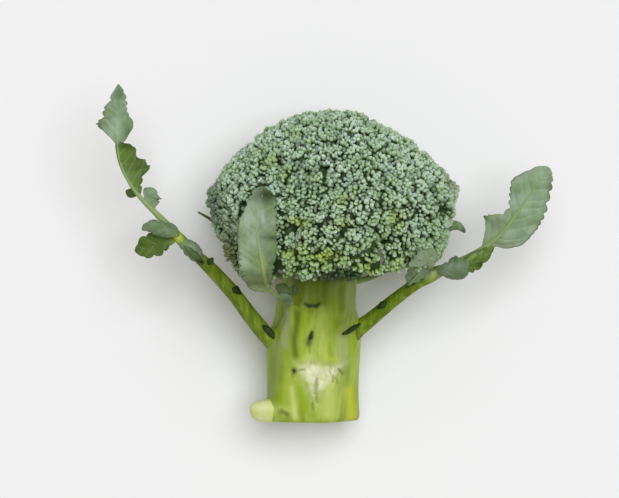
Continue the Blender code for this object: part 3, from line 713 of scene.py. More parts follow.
def make_trunk_skin(material):
    """The trunk's skin and cut face.

    The radius of ring i at turn t is its size times 1 + rib cos(5 t + twist), plus finer ribs, the leaf
    feet's swelling and the swells, less the sunk scar and marks. The cut face is the first ring, shrunk to
    its middle.
    """
    share = np.linspace(0.0, 1.0, STALK_ROWS)
    turn = -np.arange(STALK_COLUMNS) / STALK_COLUMNS * 2.0 * math.pi
    centre, side, upward = trunk_frame(share)
    round_way = round_ways(turn[None], side[:, None], upward[:, None])
    level = share[:, None]
    ribs = STALK_RIB_HEIGHT * np.cos(STALK_RIBS * turn + STALK_RIB_TURN * level * 2.0 * math.pi)
    ribs = ribs + UNEVEN_RIBS * np.sin(11 * turn - 2.0 * level) * np.sin(3 * turn + 5 * level)
    ribs = ribs + FINE_RIBS * np.sin(23 * turn + 4.0 * level)
    reach = np.interp(level, STALK_PLACES, STALK_RADII) * (1.0 + ribs) + foot_swelling(share, turn)
    points = centre[:, None] + reach[..., None] * round_way
    x = points[..., 0] + SKIN_WAVE * np.sin(points[..., 1] / SKIN_WAVE_LENGTHS[0])
    y = points[..., 1] + SKIN_WAVE * np.sin(points[..., 0] / SKIN_WAVE_LENGTHS[1])
    front = np.clip(round_way[..., 2] * 4.0, 0.0, 1.0)
    scar = front * inside_corners(x, y, SCAR_CORNERS, SCAR_SOFTNESS)
    zones = {
        label: np.minimum(front * sum(stroke(x, y, line) for line in lines), 1.0)
        for label, lines in SKIN_ZONES.items()
    }
    swell = MM * front * sum(stroke(x, y, line) for line in SKIN_SWELLS)
    reach = reach + swell - SCAR_DEPTH * scar - MARK_DEPTH * (zones["dark"] + zones["brown"])
    rim = np.clip(1.0 - level / CUT_RIM_SHARE, 0.0, 1.0) ** 2
    points = centre[:, None] + (reach - CUT_RIM * rim)[..., None] * round_way
    inward = np.linspace(CUT_RIM_SHARE, 1.0, CUT_ROWS)[:, None]
    cut = points[0] * inward[..., None] + points[0].mean(0) * (1.0 - inward[..., None])
    cut[..., 1] -= CUT_HOLLOW * (1.0 - inward ** 6)
    ripple = np.sin(310.0 * cut[..., 0] + 90.0 * cut[..., 2]) * np.sin(140.0 * cut[..., 2] - 1.0)
    cut[..., 1] += CUT_RIPPLE * ripple * (1.0 - inward)
    points = np.concatenate([cut, points])
    points[..., 2] = np.maximum(points[..., 2], 0.0)
    skin, triangles = closed_skin(points)
    flat = np.zeros(cut.shape[:2])
    values = {label: (flat, numbers) for label, numbers in zones.items()}
    values |= {
        "scar": (flat, scar),
        "cut": (flat + 1.0, np.zeros(reach.shape)),
        "inward": (flat + inward, np.ones(reach.shape)),
    }
    values = {label: end_values(np.concatenate(pair)) for label, pair in values.items()}
    return make_piece("stalk_skin", skin, triangles, material, values)


SKIN_GREEN = (0.250, 0.360, 0.010, 1.0)
SKIN_PALE = (0.400, 0.500, 0.070, 1.0)
SKIN_OLIVE = (0.105, 0.145, 0.001, 1.0)
SKIN_BRIGHT = (0.300, 0.430, 0.008, 1.0)
SKIN_YELLOW = (0.560, 0.600, 0.020, 1.0)
SKIN_PALE_AND_HIGHLIGHT = (0.620, 0.710, 0.200, 1.0)
SKIN_GREY = (0.370, 0.420, 0.210, 1.0)
ZONE_PAINTS = {
    "pale": SKIN_PALE_AND_HIGHLIGHT,
    "grey": SKIN_GREY,
    "bright": SKIN_BRIGHT,
    "olive": SKIN_OLIVE,
    "yellow": SKIN_YELLOW,
}
SCAR_CREAM = (0.850, 0.850, 0.600, 1.0)
MARK_BROWN = (0.120, 0.150, 0.008, 1.0)
DARK_MARK_AND_SHADE_GREEN = (0.016, 0.032, 0.003, 1.0)
PITH_WHITE = (0.640, 0.680, 0.400, 1.0)
PITH_RING = (0.420, 0.520, 0.160, 1.0)


def fibre_group():
    """Long streaks of the skin's fibres, along Y: cloudy noise squeezed across them."""
    inputs = {"Place": "Vector", "Fineness": "Float"}
    group, given, made = new_group("Fibres", inputs, {"Streaks": "Float"})
    long = add_node(group, "ShaderNodeMapping", {"Vector": given["Place"], "Scale": (1.0, 0.10, 1.0)})
    streaks = noise(group, long.outputs["Vector"], given["Fineness"], 4.0, 0.6)
    group.links.new(streaks, made["Streaks"])
    return group


FIBRES = fibre_group()


def stalk_material():
    """Crisp yellow-green skin, fibres, colour zones, painted light and shade, a cream scar, dark marks, the
    pale cut.
    """
    material, tree, shader, place = principled("stalk skin")
    fibres = use_group(tree, FIBRES, Place=place, Fineness=420.0)
    broad = use_group(tree, FIBRES, Place=place, Fineness=110.0)
    colour = mix(tree, rise(tree, broad, 0.38, 0.62), SKIN_GREEN, SKIN_PALE)
    colour = mix(tree, times(tree, rise(tree, fibres, 0.45, 0.7), 0.30), colour, SKIN_OLIVE)
    # Some zones are partly painted light and shade: highlights in pale, bounce light in grey, shade in
    # olive.
    for label, paint in ZONE_PAINTS.items():
        colour = coat(tree, colour, label, paint, 0.85)
    patches = rise(tree, noise(tree, place, 230.0, 5.0), 0.30, 0.68)
    worn = reckon(tree, "ADD", 0.30, times(tree, patches, 0.70))
    colour = coat(tree, colour, "scar", SCAR_CREAM, worn)
    ragged = rise(tree, noise(tree, place, 900.0), 0.30, 0.50)
    colour = coat(tree, colour, "brown", MARK_BROWN, ragged)
    # Dark marks, partly painted shade under the crown and in slits.
    colour = coat(tree, colour, "dark", DARK_MARK_AND_SHADE_GREEN)
    colour = use_group(tree, WAX_BLOOM, Place=place, Skin=colour, Bloom=SKIN_GREY, Scale=45.0, Amount=0.08)
    inward = value_at(tree, "inward")
    ring = reckon(tree, "ABSOLUTE", reckon(tree, "SUBTRACT", inward, 0.80))
    pith = mix(tree, rise(tree, ring, 0.02, 0.07), PITH_RING, PITH_WHITE)
    pith = mix(tree, rise(tree, inward, 0.88, 1.0), pith, SKIN_GREEN)
    grain = rise(tree, noise(tree, place, 900.0), 0.5, 0.75)
    pith = mix(tree, times(tree, grain, 0.4), pith, PITH_RING)
    bump = add_node(tree, "ShaderNodeBump", {"Height": fibres, "Strength": 0.25, "Distance": 0.0006})
    set_inputs(tree, shader, {
        "Base Color": coat(tree, colour, "cut", pith),
        "Normal": bump.outputs["Normal"],
        "Roughness": 0.46,
        "Specular IOR Level": 0.24,
        "Subsurface Weight": 0.08,
        "Subsurface Radius": (0.0030, 0.0035, 0.0010),
    })
    return material


stalk_skin = stalk_material()
trunk = make_trunk_skin(stalk_skin)
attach(trunk, "root")
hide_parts("stalk")

# Branches
# Each floret stands on a branch of the stalk, which leaves along the stalk and turns out to its floret.
# They are smooth tubes, thick at the fork and spread again where the floret's stems begin.

BRANCH_RADIUS = 0.0060
BRANCH_END_RADIUS = 0.0090
BRANCH_FORK_FLARE = 0.55  # how much thicker it is where it leaves the stalk
BRANCH_FLARE_LENGTH = 0.12  # share of its length that this fades over
BRANCH_SPREAD_START = 0.55  # share of its length where it begins to spread
BRANCH_RIDGES, BRANCH_RIDGE_HEIGHT = 4, 0.05
BRANCH_HANDLES = (0.30, 0.40)
BRANCH_SINK = 0.0060
BRANCH_ROWS, BRANCH_SIDES = 40, 28


def tube_rings(line, reference, radii, sides, ridges=0, ridge_height=0.0):
    """Rings of a tube round a line: circles square to it, with a few ridges along it."""
    way = unit(np.gradient(line, axis=0))
    side = unit(np.cross(reference, way))
    other = np.cross(way, side)
    turn = np.arange(sides) / sides * 2.0 * math.pi
    reach = radii[:, None] * (1.0 + ridge_height * np.cos(ridges * turn))
    return line[:, None] + reach[..., None] * round_ways(turn[None], side[:, None], other[:, None])


def smooth_curve(start, start_way, end, end_way, reaches, count):
    """A cubic curve between two places, which keeps to its way at each over a share of the gap."""
    far = np.linalg.norm(end - start)
    handles = (start, start + reaches[0] * far * start_way, end - reaches[1] * far * end_way, end)
    t = np.linspace(0.0, 1.0, count)[:, None]
    weights = ((1 - t) ** 3, 3 * t * (1 - t) ** 2, 3 * t * t * (1 - t), t ** 3)
    return sum(weight * handle for weight, handle in zip(weights, handles))


def branch_line(index):
    """A smooth curve from the fork, along the trunk's way, round to the floret's own."""
    facing = FLORET_FACING[index]
    end = FLORET_CENTRES[index] - facing * (FLORET_BACK - BRANCH_SINK)
    return smooth_curve(FLORET_FORKS[index], TRUNK_WAY, end, facing, BRANCH_HANDLES, BRANCH_ROWS)


def join_skins(skins):
    """Several skins' points and triangles as one."""
    starts = np.cumsum([0] + [len(points) for points, _ in skins[:-1]])
    points = np.concatenate([points for points, _ in skins])
    return points, np.concatenate([triangles + start for (_, triangles), start in zip(skins, starts)])


skins = []
for index in range(FLORET_COUNT):
    t = np.linspace(0.0, 1.0, BRANCH_ROWS)
    flare = 1.0 + BRANCH_FORK_FLARE * np.exp(-t / BRANCH_FLARE_LENGTH)
    radii = np.interp(t, (BRANCH_SPREAD_START, 1.0), (BRANCH_RADIUS, BRANCH_END_RADIUS)) * flare
    across = unit(np.cross(TRUNK_WAY, FLORET_FACING[index]) + 0.001 * AXES[2])
    line = branch_line(index)
    rings = tube_rings(line, across, radii, BRANCH_SIDES, BRANCH_RIDGES, BRANCH_RIDGE_HEIGHT)
    skins.append(closed_skin(rings))
points, triangles = join_skins(skins)
branches = make_piece("branches", points, triangles, stalk_skin, {})
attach(branches, "root")

# Stub
# The foot of a leaf stalk that a knife cut off beside the stalk's own cut. It grew out of the stalk, so
# it has the same fibrous skin, dried and pale at its end.

STUB_ENDS = np.array([[-0.0150, -0.0852, 0.0385], [-0.0396, -0.0856, 0.0355]])
STUB_RADIUS = 0.0060
STUB_UNEVEN = 0.07
STUB_SHOULDER = 0.74  # share of its length where its end starts to round off
STUB_ROUNDING = 0.27  # share of its length that the rounding takes
STUB_RIDGES, STUB_RIDGE_HEIGHT = 3, 0.07
STUB_ROWS, STUB_SIDES = 30, 40
STUB_TONES = {  # the x where each colour starts, the length that it grows over, and its most
    "pale": (-0.018, 0.006, 1.0),
    "scar": (-0.026, 0.008, 0.5),
    "yellow": (-0.034, 0.006, 0.5),
}

t = np.linspace(0.0, 1.0, STUB_ROWS)
line = STUB_ENDS[0] + t[:, None] * (STUB_ENDS[1] - STUB_ENDS[0])
rounded = np.clip((t - STUB_SHOULDER) / STUB_ROUNDING, 0.0, 1.0) ** 2.4
radii = STUB_RADIUS * np.sqrt(np.clip(1.0 - rounded, 0.02, 1.0))
radii = radii * (1.0 + STUB_UNEVEN * np.sin(9.0 * t + 2.4))
rings = tube_rings(line, UP, radii, STUB_SIDES, STUB_RIDGES, STUB_RIDGE_HEIGHT)
points, triangles = closed_skin(rings)
stub = make_piece("leaf_stub", points, triangles, stalk_skin, {
    label: np.clip((start - points[:, 0]) / length, 0.0, most)
    for label, (start, length, most) in STUB_TONES.items()
})
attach(stub, "root")

# Left leaf
# The leaf's stiff stalk runs on as a pale midrib under thin cut lobes, the lower ones folded or rolled. A
# midrib's row is a place and its radius, in millimetres. A lobe has its roll in degrees, its tones and its
# rows, each a place on its axis and its reach to both sides. Spots are ovals like the crown's fields. Dark
# tones and spots are partly painted shade, and frost spots partly painted highlights.

MIDRIB_ROWS, MIDRIB_SIDES = 170, 22
MIDRIB_RIDGES, MIDRIB_RIDGE_HEIGHT = 5, 0.04
MIDRIB_SMOOTH = 0.7  # over how many rows a midrib is rounded off
LOBE_ROWS, LOBE_COLUMNS = 92, 36
LOBE_SMOOTH = 0.6
BLADE_THICKNESS = 0.0005
RUFFLE_HEIGHT = 0.0008
RUFFLE_LENGTH = 0.0105
VEIN_SPACING = 0.0062
VEIN_SLANTS = (0.55, 1.15)  # how far a vein runs on for each unit that it runs out, from and to
VEIN_SHIFT = 0.28  # of all of a blade's veins, as a share of their spacing
VEIN_UNEVEN = 0.22  # of single veins
VEIN_BEND = 0.30  # how much a vein turns towards the blade's tip
VEIN_WIDTH = 0.00042
VEIN_SINK = 0.00022
PUFF_HEIGHT = 0.00045
PUFF_EDGE = 0.0014  # how far from a vein the blade is puffed up
TOOTH_LENGTH = 0.0042
TOOTH_DEPTH = 0.0021
TOOTH_WAVES = (0.0052, 0.0071)  # over which the teeth's length and depth vary
TOOTH_GROWTH = 0.005  # of the blade's reach, over which its teeth grow in
FULL_REACH = 0.009  # from which the blade is ruffled and puffed up in full
THICK_RADIUS = 0.004  # of a leaf stalk, where its value "thick" is 1
FOOT_DROP = 0.021  # how far a leaf stalk's foot runs down inside the stalk
FOOT_OUT = 0.68  # its place there, as a share of the stalk's radius
FOOT_REACHES = (0.45, 0.42)
FOOT_WIDENING = 1.35
FOOT_ROWS = 16
SUNK_END = 0.003  # of a leaf stalk that grows on another one
LIFT_STEPS = 12
LIFT_SLOPE = 0.4
TONES = ("wax", "frost", "dark", "worn", "young")
leaf_rng = np.random.default_rng(7)


def resampled(table, count, smooth):
    """A table's rows read at count places along it, then rounded off over a number of its rows."""
    stations = np.arange(len(table))
    fine = np.linspace(0.0, len(table) - 1.0, count)
    out = np.stack([np.interp(fine, stations, column) for column in table.T], -1)
    width = max(1, int(smooth * count / len(table)))
    window = np.hanning(2 * width + 3)[1:-1]
    window /= window.sum()
    padded = np.concatenate([np.repeat(out[:1], width, 0), out, np.repeat(out[-1:], width, 0)])
    return np.stack([np.convolve(column, window, "valid") for column in padded.T], -1)


def lift_clear(points, clearance):
    """Raises points straight up, step by step, until they clear the crown's form."""
    out = points.copy()
    for _ in range(LIFT_STEPS):
        offset = out - CROWN_CENTRE
        ways = unit(offset)
        short = crown_distance(CROWN_CENTRE, ways) + clearance - np.linalg.norm(offset, axis=-1)
        out[:, 2] += np.maximum(short, 0.0) / np.maximum(ways[:, 2], LIFT_SLOPE)
    return out


def lengths_along(line):
    """The distance of each point of a line from its start."""
    return np.concatenate([[0.0], np.cumsum(np.linalg.norm(np.diff(line, axis=0), axis=-1))])


def vein_gaps(along, out, share):
    """The distance to the nearest side vein at each place of half a blade.

    Vein k leaves the axis at its own start, and has run on by its slant times the way out, less a bend.
    """
    starts = np.arange(-3, along.max() / VEIN_SPACING + 1.0) + leaf_rng.uniform(-VEIN_SHIFT, VEIN_SHIFT)
    starts = starts * VEIN_SPACING
    starts = starts + leaf_rng.uniform(-VEIN_UNEVEN, VEIN_UNEVEN, len(starts)) * VEIN_SPACING
    slants = leaf_rng.uniform(*VEIN_SLANTS, len(starts))
    run = along[..., None] - slants * (out * (1.0 + VEIN_BEND * share))[..., None] - starts
    return (np.abs(run) / np.sqrt(1.0 + slants ** 2)).min(-1)


def toothed(along, reach):
    """A blade's reach with its edge cut back between teeth of uneven length and depth."""
    shift = leaf_rng.uniform(0.0, 1.0, 3)
    run = along / TOOTH_LENGTH + 0.45 * np.sin(along / TOOTH_WAVES[0] + 6.0 * shift[0]) + shift[1]
    depth = TOOTH_DEPTH * (0.65 + 0.5 * np.sin(along / TOOTH_WAVES[1] + 6.0 * shift[2]))
    notch = 1.0 - np.abs(np.sin(math.pi * run)) ** 0.7
    return reach - depth * notch * np.clip(reach / TOOTH_GROWTH - 0.3, 0.0, 1.0)


def make_lobe(rows, roll, tones, spots, clearance):
    """One lobe as a closed thin skin, with its values.

    Each half of a ring is an arc as long as the blade's reach, which turns by the half's roll: up where it
    is positive and down where it is negative. The blade also ruffles, more so towards its edge, puffs up
    between its veins and sinks along them. Its thickness is laid on square to it, both ways.
    """
    table = resampled(np.array(rows) * MM, LOBE_ROWS, LOBE_SMOOTH)
    line = lift_clear(table[:, :3], clearance) if clearance else table[:, :3]
    way = unit(np.gradient(line, axis=0))
    left = unit(np.cross(UP, way))
    upward = np.cross(way, left)
    along = lengths_along(line)
    share = np.linspace(1.0, 0.0, LOBE_COLUMNS // 2) ** 1.1
    halves, gaps = [], []
    for sign, reach, turn in zip((1.0, -1.0), table[:, 3:5].T, np.radians(roll)):
        turn = math.copysign(max(abs(turn), 0.01), turn)
        out = share * toothed(along, reach)[:, None]
        gap = vein_gaps(np.broadcast_to(along[:, None], out.shape), out, share[None])
        phase = leaf_rng.uniform(0.0, 6.3, 2)
        waves = 2.0 * math.pi / RUFFLE_LENGTH * along[:, None]
        ruffle = np.sin(waves + phase[0]) * share ** 2 + 0.7 * np.sin(waves / 2.3 + phase[1]) * share
        puff = (1.0 - np.exp(-((gap / PUFF_EDGE) ** 2))) * np.sqrt(share)
        grown = np.clip(reach / FULL_REACH, 0.0, 1.0)[:, None]
        relief = grown * (RUFFLE_HEIGHT * ruffle + PUFF_HEIGHT * puff)
        relief = relief - VEIN_SINK * np.exp(-((gap / VEIN_WIDTH) ** 2))
        bent = np.where(share > 0.0, turn * share, 1.0)
        flat = out * np.sin(bent) / bent
        risen = out * (1.0 - np.cos(bent)) / bent + relief
        half = line[:, None] + sign * flat[..., None] * left[:, None] + risen[..., None] * upward[:, None]
        halves.append(half if sign > 0.0 else half[:, -2::-1])
        gaps.append(gap if sign > 0.0 else gap[:, -2::-1])
    points, gap = np.concatenate(halves, axis=1), np.concatenate(gaps, axis=1)
    edge = np.concatenate([share, share[-2::-1]])
    if clearance:
        points = lift_clear(points.reshape(-1, 3), clearance).reshape(points.shape)
    normal = unit(np.cross(np.gradient(points, axis=1), np.gradient(points, axis=0)) + 1e-12)
    normal *= np.sign((normal[:, len(share) - 1] * upward).sum(-1))[:, None, None]
    half_thick = 0.5 * BLADE_THICKNESS * (1.0 - 0.5 * edge ** 2)[None, :, None]
    rings = np.concatenate([points + half_thick * normal, (points - half_thick * normal)[:, ::-1]], axis=1)
    skin, triangles = closed_skin(rings)

    def both(values):
        full = np.broadcast_to(values, points.shape[:2])
        return end_values(np.concatenate([full, full[:, ::-1]], axis=1))

    width = VEIN_WIDTH * (1.15 - 0.6 * edge)
    values = {
        "vein": both(np.exp(-((gap / width) ** 2))),
        "edge": both(edge),
        "rib": np.zeros(len(skin)),
        "thick": np.zeros(len(skin)),
    }
    return skin, triangles, values | toned(skin, tones, spots)


def toned(skin, tones, spots):
    """A piece's tones at its points: the piece's own, and what the leaf's spots add or take."""
    return {
        label: np.clip(tones.get(label, 0.0) + fields_at(skin / MM, spots.get(label, ())), 0.0, 1.0)
        for label in TONES
    }


def foot_line(start, way):
    """The part of a leaf stalk inside the stalk: a smooth curve that turns down along it."""
    level = (start - STALK_BASE) @ TRUNK_WAY
    centre = STALK_BASE + level * TRUNK_WAY
    full = STALK_LENGTH_SHARE * np.linalg.norm(CROWN_CENTRE - STALK_BASE)
    radius = np.interp(level / full, STALK_PLACES, STALK_RADII)
    deep = centre - FOOT_DROP * TRUNK_WAY + FOOT_OUT * radius * unit(start - centre)
    return smooth_curve(deep, TRUNK_WAY, start, way, FOOT_REACHES, FOOT_ROWS + 1)[:-1]


def make_midrib(rows, spots, clearance, footed):
    """A leaf's stalk and midrib as one closed tube, rooted in what it grows from, and its values."""
    table = resampled(np.array(rows) * MM, MIDRIB_ROWS, MIDRIB_SMOOTH)
    line, radii = table[:, :3], table[:, 3]
    if clearance:
        line = lift_clear(line, clearance)
    way = unit(line[1] - line[0])
    if footed:
        foot = foot_line(line[0], way)
        radii = np.concatenate([np.linspace(FOOT_WIDENING, 1.0, FOOT_ROWS) * radii[0], radii])
    else:
        foot = line[:1] - SUNK_END * way
        radii = np.concatenate([radii[:1], radii])
    line = np.concatenate([foot, line])
    rings = tube_rings(line, UP, radii, MIDRIB_SIDES, MIDRIB_RIDGES, MIDRIB_RIDGE_HEIGHT)
    skin, triangles = closed_skin(rings)
    still = np.zeros(len(skin))
    thick = end_values(np.repeat(radii[:, None], MIDRIB_SIDES, axis=1)) / THICK_RADIUS
    values = {"vein": still, "edge": still, "rib": still + 1.0, "thick": thick}
    return skin, triangles, values | toned(skin, {}, spots)


LEAF_BRIGHT = (0.120, 0.215, 0.010, 1.0)
LEAF_DARK_AND_SHADE = (0.014, 0.034, 0.003, 1.0)
LEAF_WAX_GREEN = (0.205, 0.305, 0.165, 1.0)
LEAF_WAX_GREY = (0.340, 0.440, 0.330, 1.0)
LEAF_FROST_AND_HIGHLIGHT = (0.500, 0.600, 0.500, 1.0)
LEAF_WORN = (0.170, 0.180, 0.085, 1.0)
LEAF_YOUNG = (0.420, 0.500, 0.090, 1.0)
LEAF_VEIN = (0.380, 0.490, 0.260, 1.0)
LEAF_EDGE = (0.070, 0.105, 0.045, 1.0)
PETIOLE_GREEN = (0.100, 0.165, 0.002, 1.0)
PETIOLE_PALE = (0.220, 0.310, 0.020, 1.0)
MIDRIB_PALE = (0.270, 0.375, 0.140, 1.0)


def leaf_material():
    """Bright green under grey wax, pale veins, darker parts partly painted shade, worn and young parts,
    olive stalk.
    """
    material, tree, shader, place = principled("leaf")
    grid = {"Vector": place, "Scale": 900.0}
    cells = add_node(tree, "ShaderNodeTexVoronoi", grid, feature="DISTANCE_TO_EDGE")
    net = reckon(tree, "SUBTRACT", 1.0, rise(tree, cells.outputs["Distance"], 0.0, 0.16))
    cloud = rise(tree, noise(tree, place, 120.0), 0.35, 0.70)
    blade = mix(tree, times(tree, cloud, 0.35), LEAF_BRIGHT, LEAF_DARK_AND_SHADE)
    blade = coat(tree, blade, "wax", LEAF_WAX_GREEN, 0.88)
    wax = times(tree, value_at(tree, "wax"), 0.7)
    blade = use_group(tree, WAX_BLOOM, Place=place, Skin=blade, Bloom=LEAF_WAX_GREY, Scale=90.0, Amount=wax)
    blade = mix(tree, times(tree, net, 0.10), blade, LEAF_VEIN)
    blade = coat(tree, blade, "vein", LEAF_VEIN, 0.38)
    edge = rise(tree, value_at(tree, "edge"), 0.88, 1.0)
    blade = mix(tree, times(tree, edge, 0.55), blade, LEAF_EDGE)
    streaks = use_group(tree, FIBRES, Place=place, Fineness=300.0)
    rib = mix(tree, rise(tree, streaks, 0.4, 0.7), PETIOLE_GREEN, PETIOLE_PALE)
    rib = mix(tree, rise(tree, value_at(tree, "thick"), 0.35, 0.72), MIDRIB_PALE, rib)
    colour = coat(tree, blade, "rib", rib)
    # Frost: whitish wax streaks, partly painted highlights on the front leaf's middle and a rolled lobe's
    # centre.
    frosted = reckon(tree, "ADD", 0.35, times(tree, rise(tree, streaks, 0.40, 0.62), 0.65))
    colour = coat(tree, colour, "frost", LEAF_FROST_AND_HIGHLIGHT, frosted)
    # The dark tone is partly the leaf's own darker green, partly painted shade on rolled lobes and curled
    # tips.
    for label, paint in (("young", LEAF_YOUNG), ("worn", LEAF_WORN), ("dark", LEAF_DARK_AND_SHADE)):
        colour = coat(tree, colour, label, paint)
    bump = add_node(tree, "ShaderNodeBump", {"Height": net, "Strength": 0.2, "Distance": 0.0003})
    set_inputs(tree, shader, {
        "Base Color": colour,
        "Normal": bump.outputs["Normal"],
        "Roughness": 0.55,
        "Specular IOR Level": 0.22,
    })
    return material


leaf_skin = leaf_material()


def make_leaf(name, midrib, lobes, spots, clearance=0.0, footed=True, replaced=None):
    """A whole leaf as one piece: its midrib and its lobes, with their values."""
    parts = [make_midrib(midrib, spots, clearance, footed)]
    for roll, tones, rows in lobes:
        parts.append(make_lobe(rows, roll, tones, spots, clearance))
    points, triangles = join_skins([part[:2] for part in parts])
    values = {label: np.concatenate([part[2][label] for part in parts]) for label in parts[0][2]}
    leaf = make_piece(name, points, triangles, leaf_skin, values)
    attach(leaf, "root")
    if replaced:
        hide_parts(replaced)


make_leaf("green_leaf_left", replaced="leaf_left", midrib=(
    (-31, -44, 40.5, 4.5), (-40, -33, 43, 4.2), (-47, -23, 46, 4), (-55, -14, 49, 3.8),
    (-61, -7.5, 51.5, 3.6), (-67, -2, 53, 3.1), (-72, 3, 55, 2.8), (-77, 8, 57, 3.1),
    (-82, 13.5, 59, 2.1), (-86.5, 18.5, 60.5, 1.8), (-91, 23, 62, 1.5), (-95.5, 27.5, 63, 1.4),
    (-100.8, 33.3, 64.5, 1), (-104.6, 39.7, 67, 0.8), (-107.5, 46.1, 69, 0.7), (-109.2, 53, 70.5, 0.6),
    (-109.6, 59, 72, 0.45), (-108.7, 65, 73, 0.3), (-108.3, 72, 74, 0.2), (-108.7, 79, 76.5, 0.15),
    (-108.5, 86, 78, 0.1), (-108.4, 89.5, 79, 0.1),
), lobes=(
    ((22, -14), {"wax": 0.8, "dark": 0.05}, (
        (-109.5, 58, 71.5, 1, 2), (-108.7, 61.5, 72.5, 5, 4.2), (-108.2, 65, 73, 10.6, 5.6),
        (-107.9, 68.8, 73.5, 13.4, 7.8), (-108.2, 72.5, 74, 11.6, 5.4), (-108.5, 74.8, 75, 8.6, 4.6),
        (-108.7, 77.5, 76, 9.2, 4.8), (-108.7, 79.2, 76.5, 6, 5), (-108.7, 82.6, 77, 4.6, 4.5),
        (-108.5, 85.8, 78, 2.9, 3.4), (-108.5, 88.2, 78.5, 1.2, 1.6), (-108.4, 89.6, 79, 0.3, 0.3),
    )),
    ((0, 38), {"wax": 0.06, "dark": 0.02}, (
        (-98.7, 29.8, 63.5, 0.5, 0.8), (-100.8, 33.3, 64.5, 0.7, 5.2), (-102.7, 36.5, 66, 0.7, 7.4),
        (-103.7, 38.2, 66.5, 0.7, 10), (-104.8, 40.2, 67, 0.8, 16), (-105.8, 42.1, 67.7, 0.8, 15.4),
        (-106.8, 44.4, 68.5, 0.9, 14.2), (-107.8, 47.2, 69.3, 0.9, 15.2), (-108.4, 49.2, 70, 0.9, 10.4),
        (-109, 51.6, 70.3, 0.9, 10.2), (-109.5, 54.2, 70.6, 0.9, 11.4), (-109.9, 56.5, 71, 0.8, 9.4),
        (-110, 58.4, 71.4, 0.6, 8.4), (-110, 59.2, 71.5, 0.3, 1),
    )),
    ((10, 14), {"wax": 0.75, "dark": 0.08}, (
        (-91.7, 22.8, 62.5, 0.5, 1.6), (-92.8, 26.5, 63, 1.6, 5.8), (-93.3, 29.7, 64, 2.4, 7.4),
        (-92.8, 32.4, 65, 3.8, 6), (-92, 34.2, 65.5, 3.4, 4.4), (-91.7, 35.4, 66, 0.6, 0.6),
    )),
    ((30, 30), {"dark": 0.75}, (
        (-100, 30.8, 63.5, 0.5, 0.5), (-101.8, 31.8, 64, 2.4, 2.8), (-103.8, 32.7, 64.5, 2.8, 2.6),
        (-105.6, 33.6, 65, 0.4, 0.4),
    )),
    ((-72, -84), {"wax": 0.66, "dark": 0.34}, (
        (-77.8, 9.4, 61, 1, 1.5), (-81, 11, 63.5, 4.4, 4.4), (-84.8, 12.6, 65, 6, 5.6),
        (-89, 14.2, 65.5, 6.4, 5.8), (-92.8, 14.7, 65, 5.6, 5.2), (-95.5, 13.7, 64, 3.6, 3.6),
        (-97.1, 12.6, 63, 0.4, 0.4),
    )),
    ((-80, -80), {"wax": 0.6, "dark": 0.42}, (
        (-86.6, 17.2, 60.5, 0.4, 0.4), (-84.4, 15.4, 62, 3.4, 3.8), (-81.2, 12.8, 62.5, 4.4, 4.8),
        (-78.6, 10.4, 61.5, 3.4, 3.6), (-77.2, 9.2, 60, 0.4, 0.4),
    )),
    ((22, 12), {"dark": 0.4}, (
        (-78.9, 7.2, 57, 0.8, 0.8), (-83.1, 6.7, 57, 3.4, 3), (-87.4, 5.6, 57, 6.6, 6),
        (-91.7, 4, 56.5, 6.8, 7.6), (-96, 2.9, 56, 5.8, 6.6), (-99.2, 1.9, 55.5, 3.6, 3.8),
        (-101.4, 1.3, 55, 0.4, 0.4),
    )),
    ((-105, -120), {"wax": 0.62, "dark": 0.28}, (
        (-78, 8.2, 57, 1, 1), (-75.8, 6.2, 59.2, 6.4, 5.6), (-72.6, 3.1, 60.2, 8.8, 7.6),
        (-69.7, 0.3, 59.8, 9, 8.4), (-66.8, -2.6, 58.4, 7.4, 7), (-64.8, -4.6, 56.4, 3, 3),
        (-64, -5.4, 55.6, 0.4, 0.4),
    )),
    ((-95, -30), {"wax": 0.25, "dark": 0.62}, (
        (-74.4, 4.2, 60.6, 0.4, 0.4), (-72.6, 2.4, 61.4, 2.6, 1.4), (-69.4, -0.8, 61.2, 4.2, 1.8),
        (-66.4, -3.6, 59.4, 3, 1.4), (-64.4, -5.2, 56.6, 0.4, 0.4),
    )),
    # The next three lobes are nearly black: painted shade of small leaf bits in shadow and of the slit at
    # this stalk's foot.
    ((-50, -50), {"dark": 0.85}, (
        (-62, -6.2, 55, 0.4, 0.4), (-61.2, -4.9, 56, 1.8, 1.8), (-60.2, -3.6, 56.2, 1.9, 1.9),
        (-59.2, -2.2, 55.6, 0.4, 0.4),
    )),
    ((-75, -75), {"dark": 0.96}, (
        (-50.6, -18, 49.3, 0.4, 0.4), (-49.3, -18.8, 50.6, 3, 2.8), (-47.4, -20, 50.8, 4, 3.6),
        (-45.4, -21.4, 49.8, 2.8, 2.8), (-44.2, -22.2, 48.6, 0.4, 0.4),
    )),
    ((-60, -60), {"dark": 0.97}, (
        (-33.4, -38.6, 44.6, 0.4, 0.4), (-31.4, -40.2, 46.2, 2.1, 1.8), (-28.6, -43, 46.6, 2.3, 2),
        (-26, -45.6, 46.2, 1.6, 1.5), (-24.8, -46.8, 45.6, 0.5, 0.5),
    )),
), spots={
    "dark": (
        (-108.2, 84, 2.6, 4, 0.45), (-103, 51, 5, 6, 0.2), (-106, 57.5, 5, 2, 0.45),
        (-66, -5.4, 3, 2, 0.6), (-104.4, 66, 2, 4, 0.3), (-118.5, 70, 2, 4, 0.25),
    ),
    "frost": (
        (-110, 67, 4, 7, 0.45), (-72, 3.4, 2.6, 1.8, 0.4), (-85, 12, 5, 1.3, 0.4), (-90, 16, 4, 1, 0.3),
    ),
    "young": ((-77.2, 8.4, 2.6, 2.6, 0.9), (-79.5, 6.5, 3.5, 2, 0.5)),
    "wax": ((-91, 25, 5, 5, 0.5), (-105, 38, 4, 6, 0.3)),
})

# Right leaf
# The same kind of leaf on the stalk's right: one broad blade at its end, below it two short folded lobes,
# and a swollen yellow joint in its stalk. The separate short lobe leans on the crown's lower right edge.

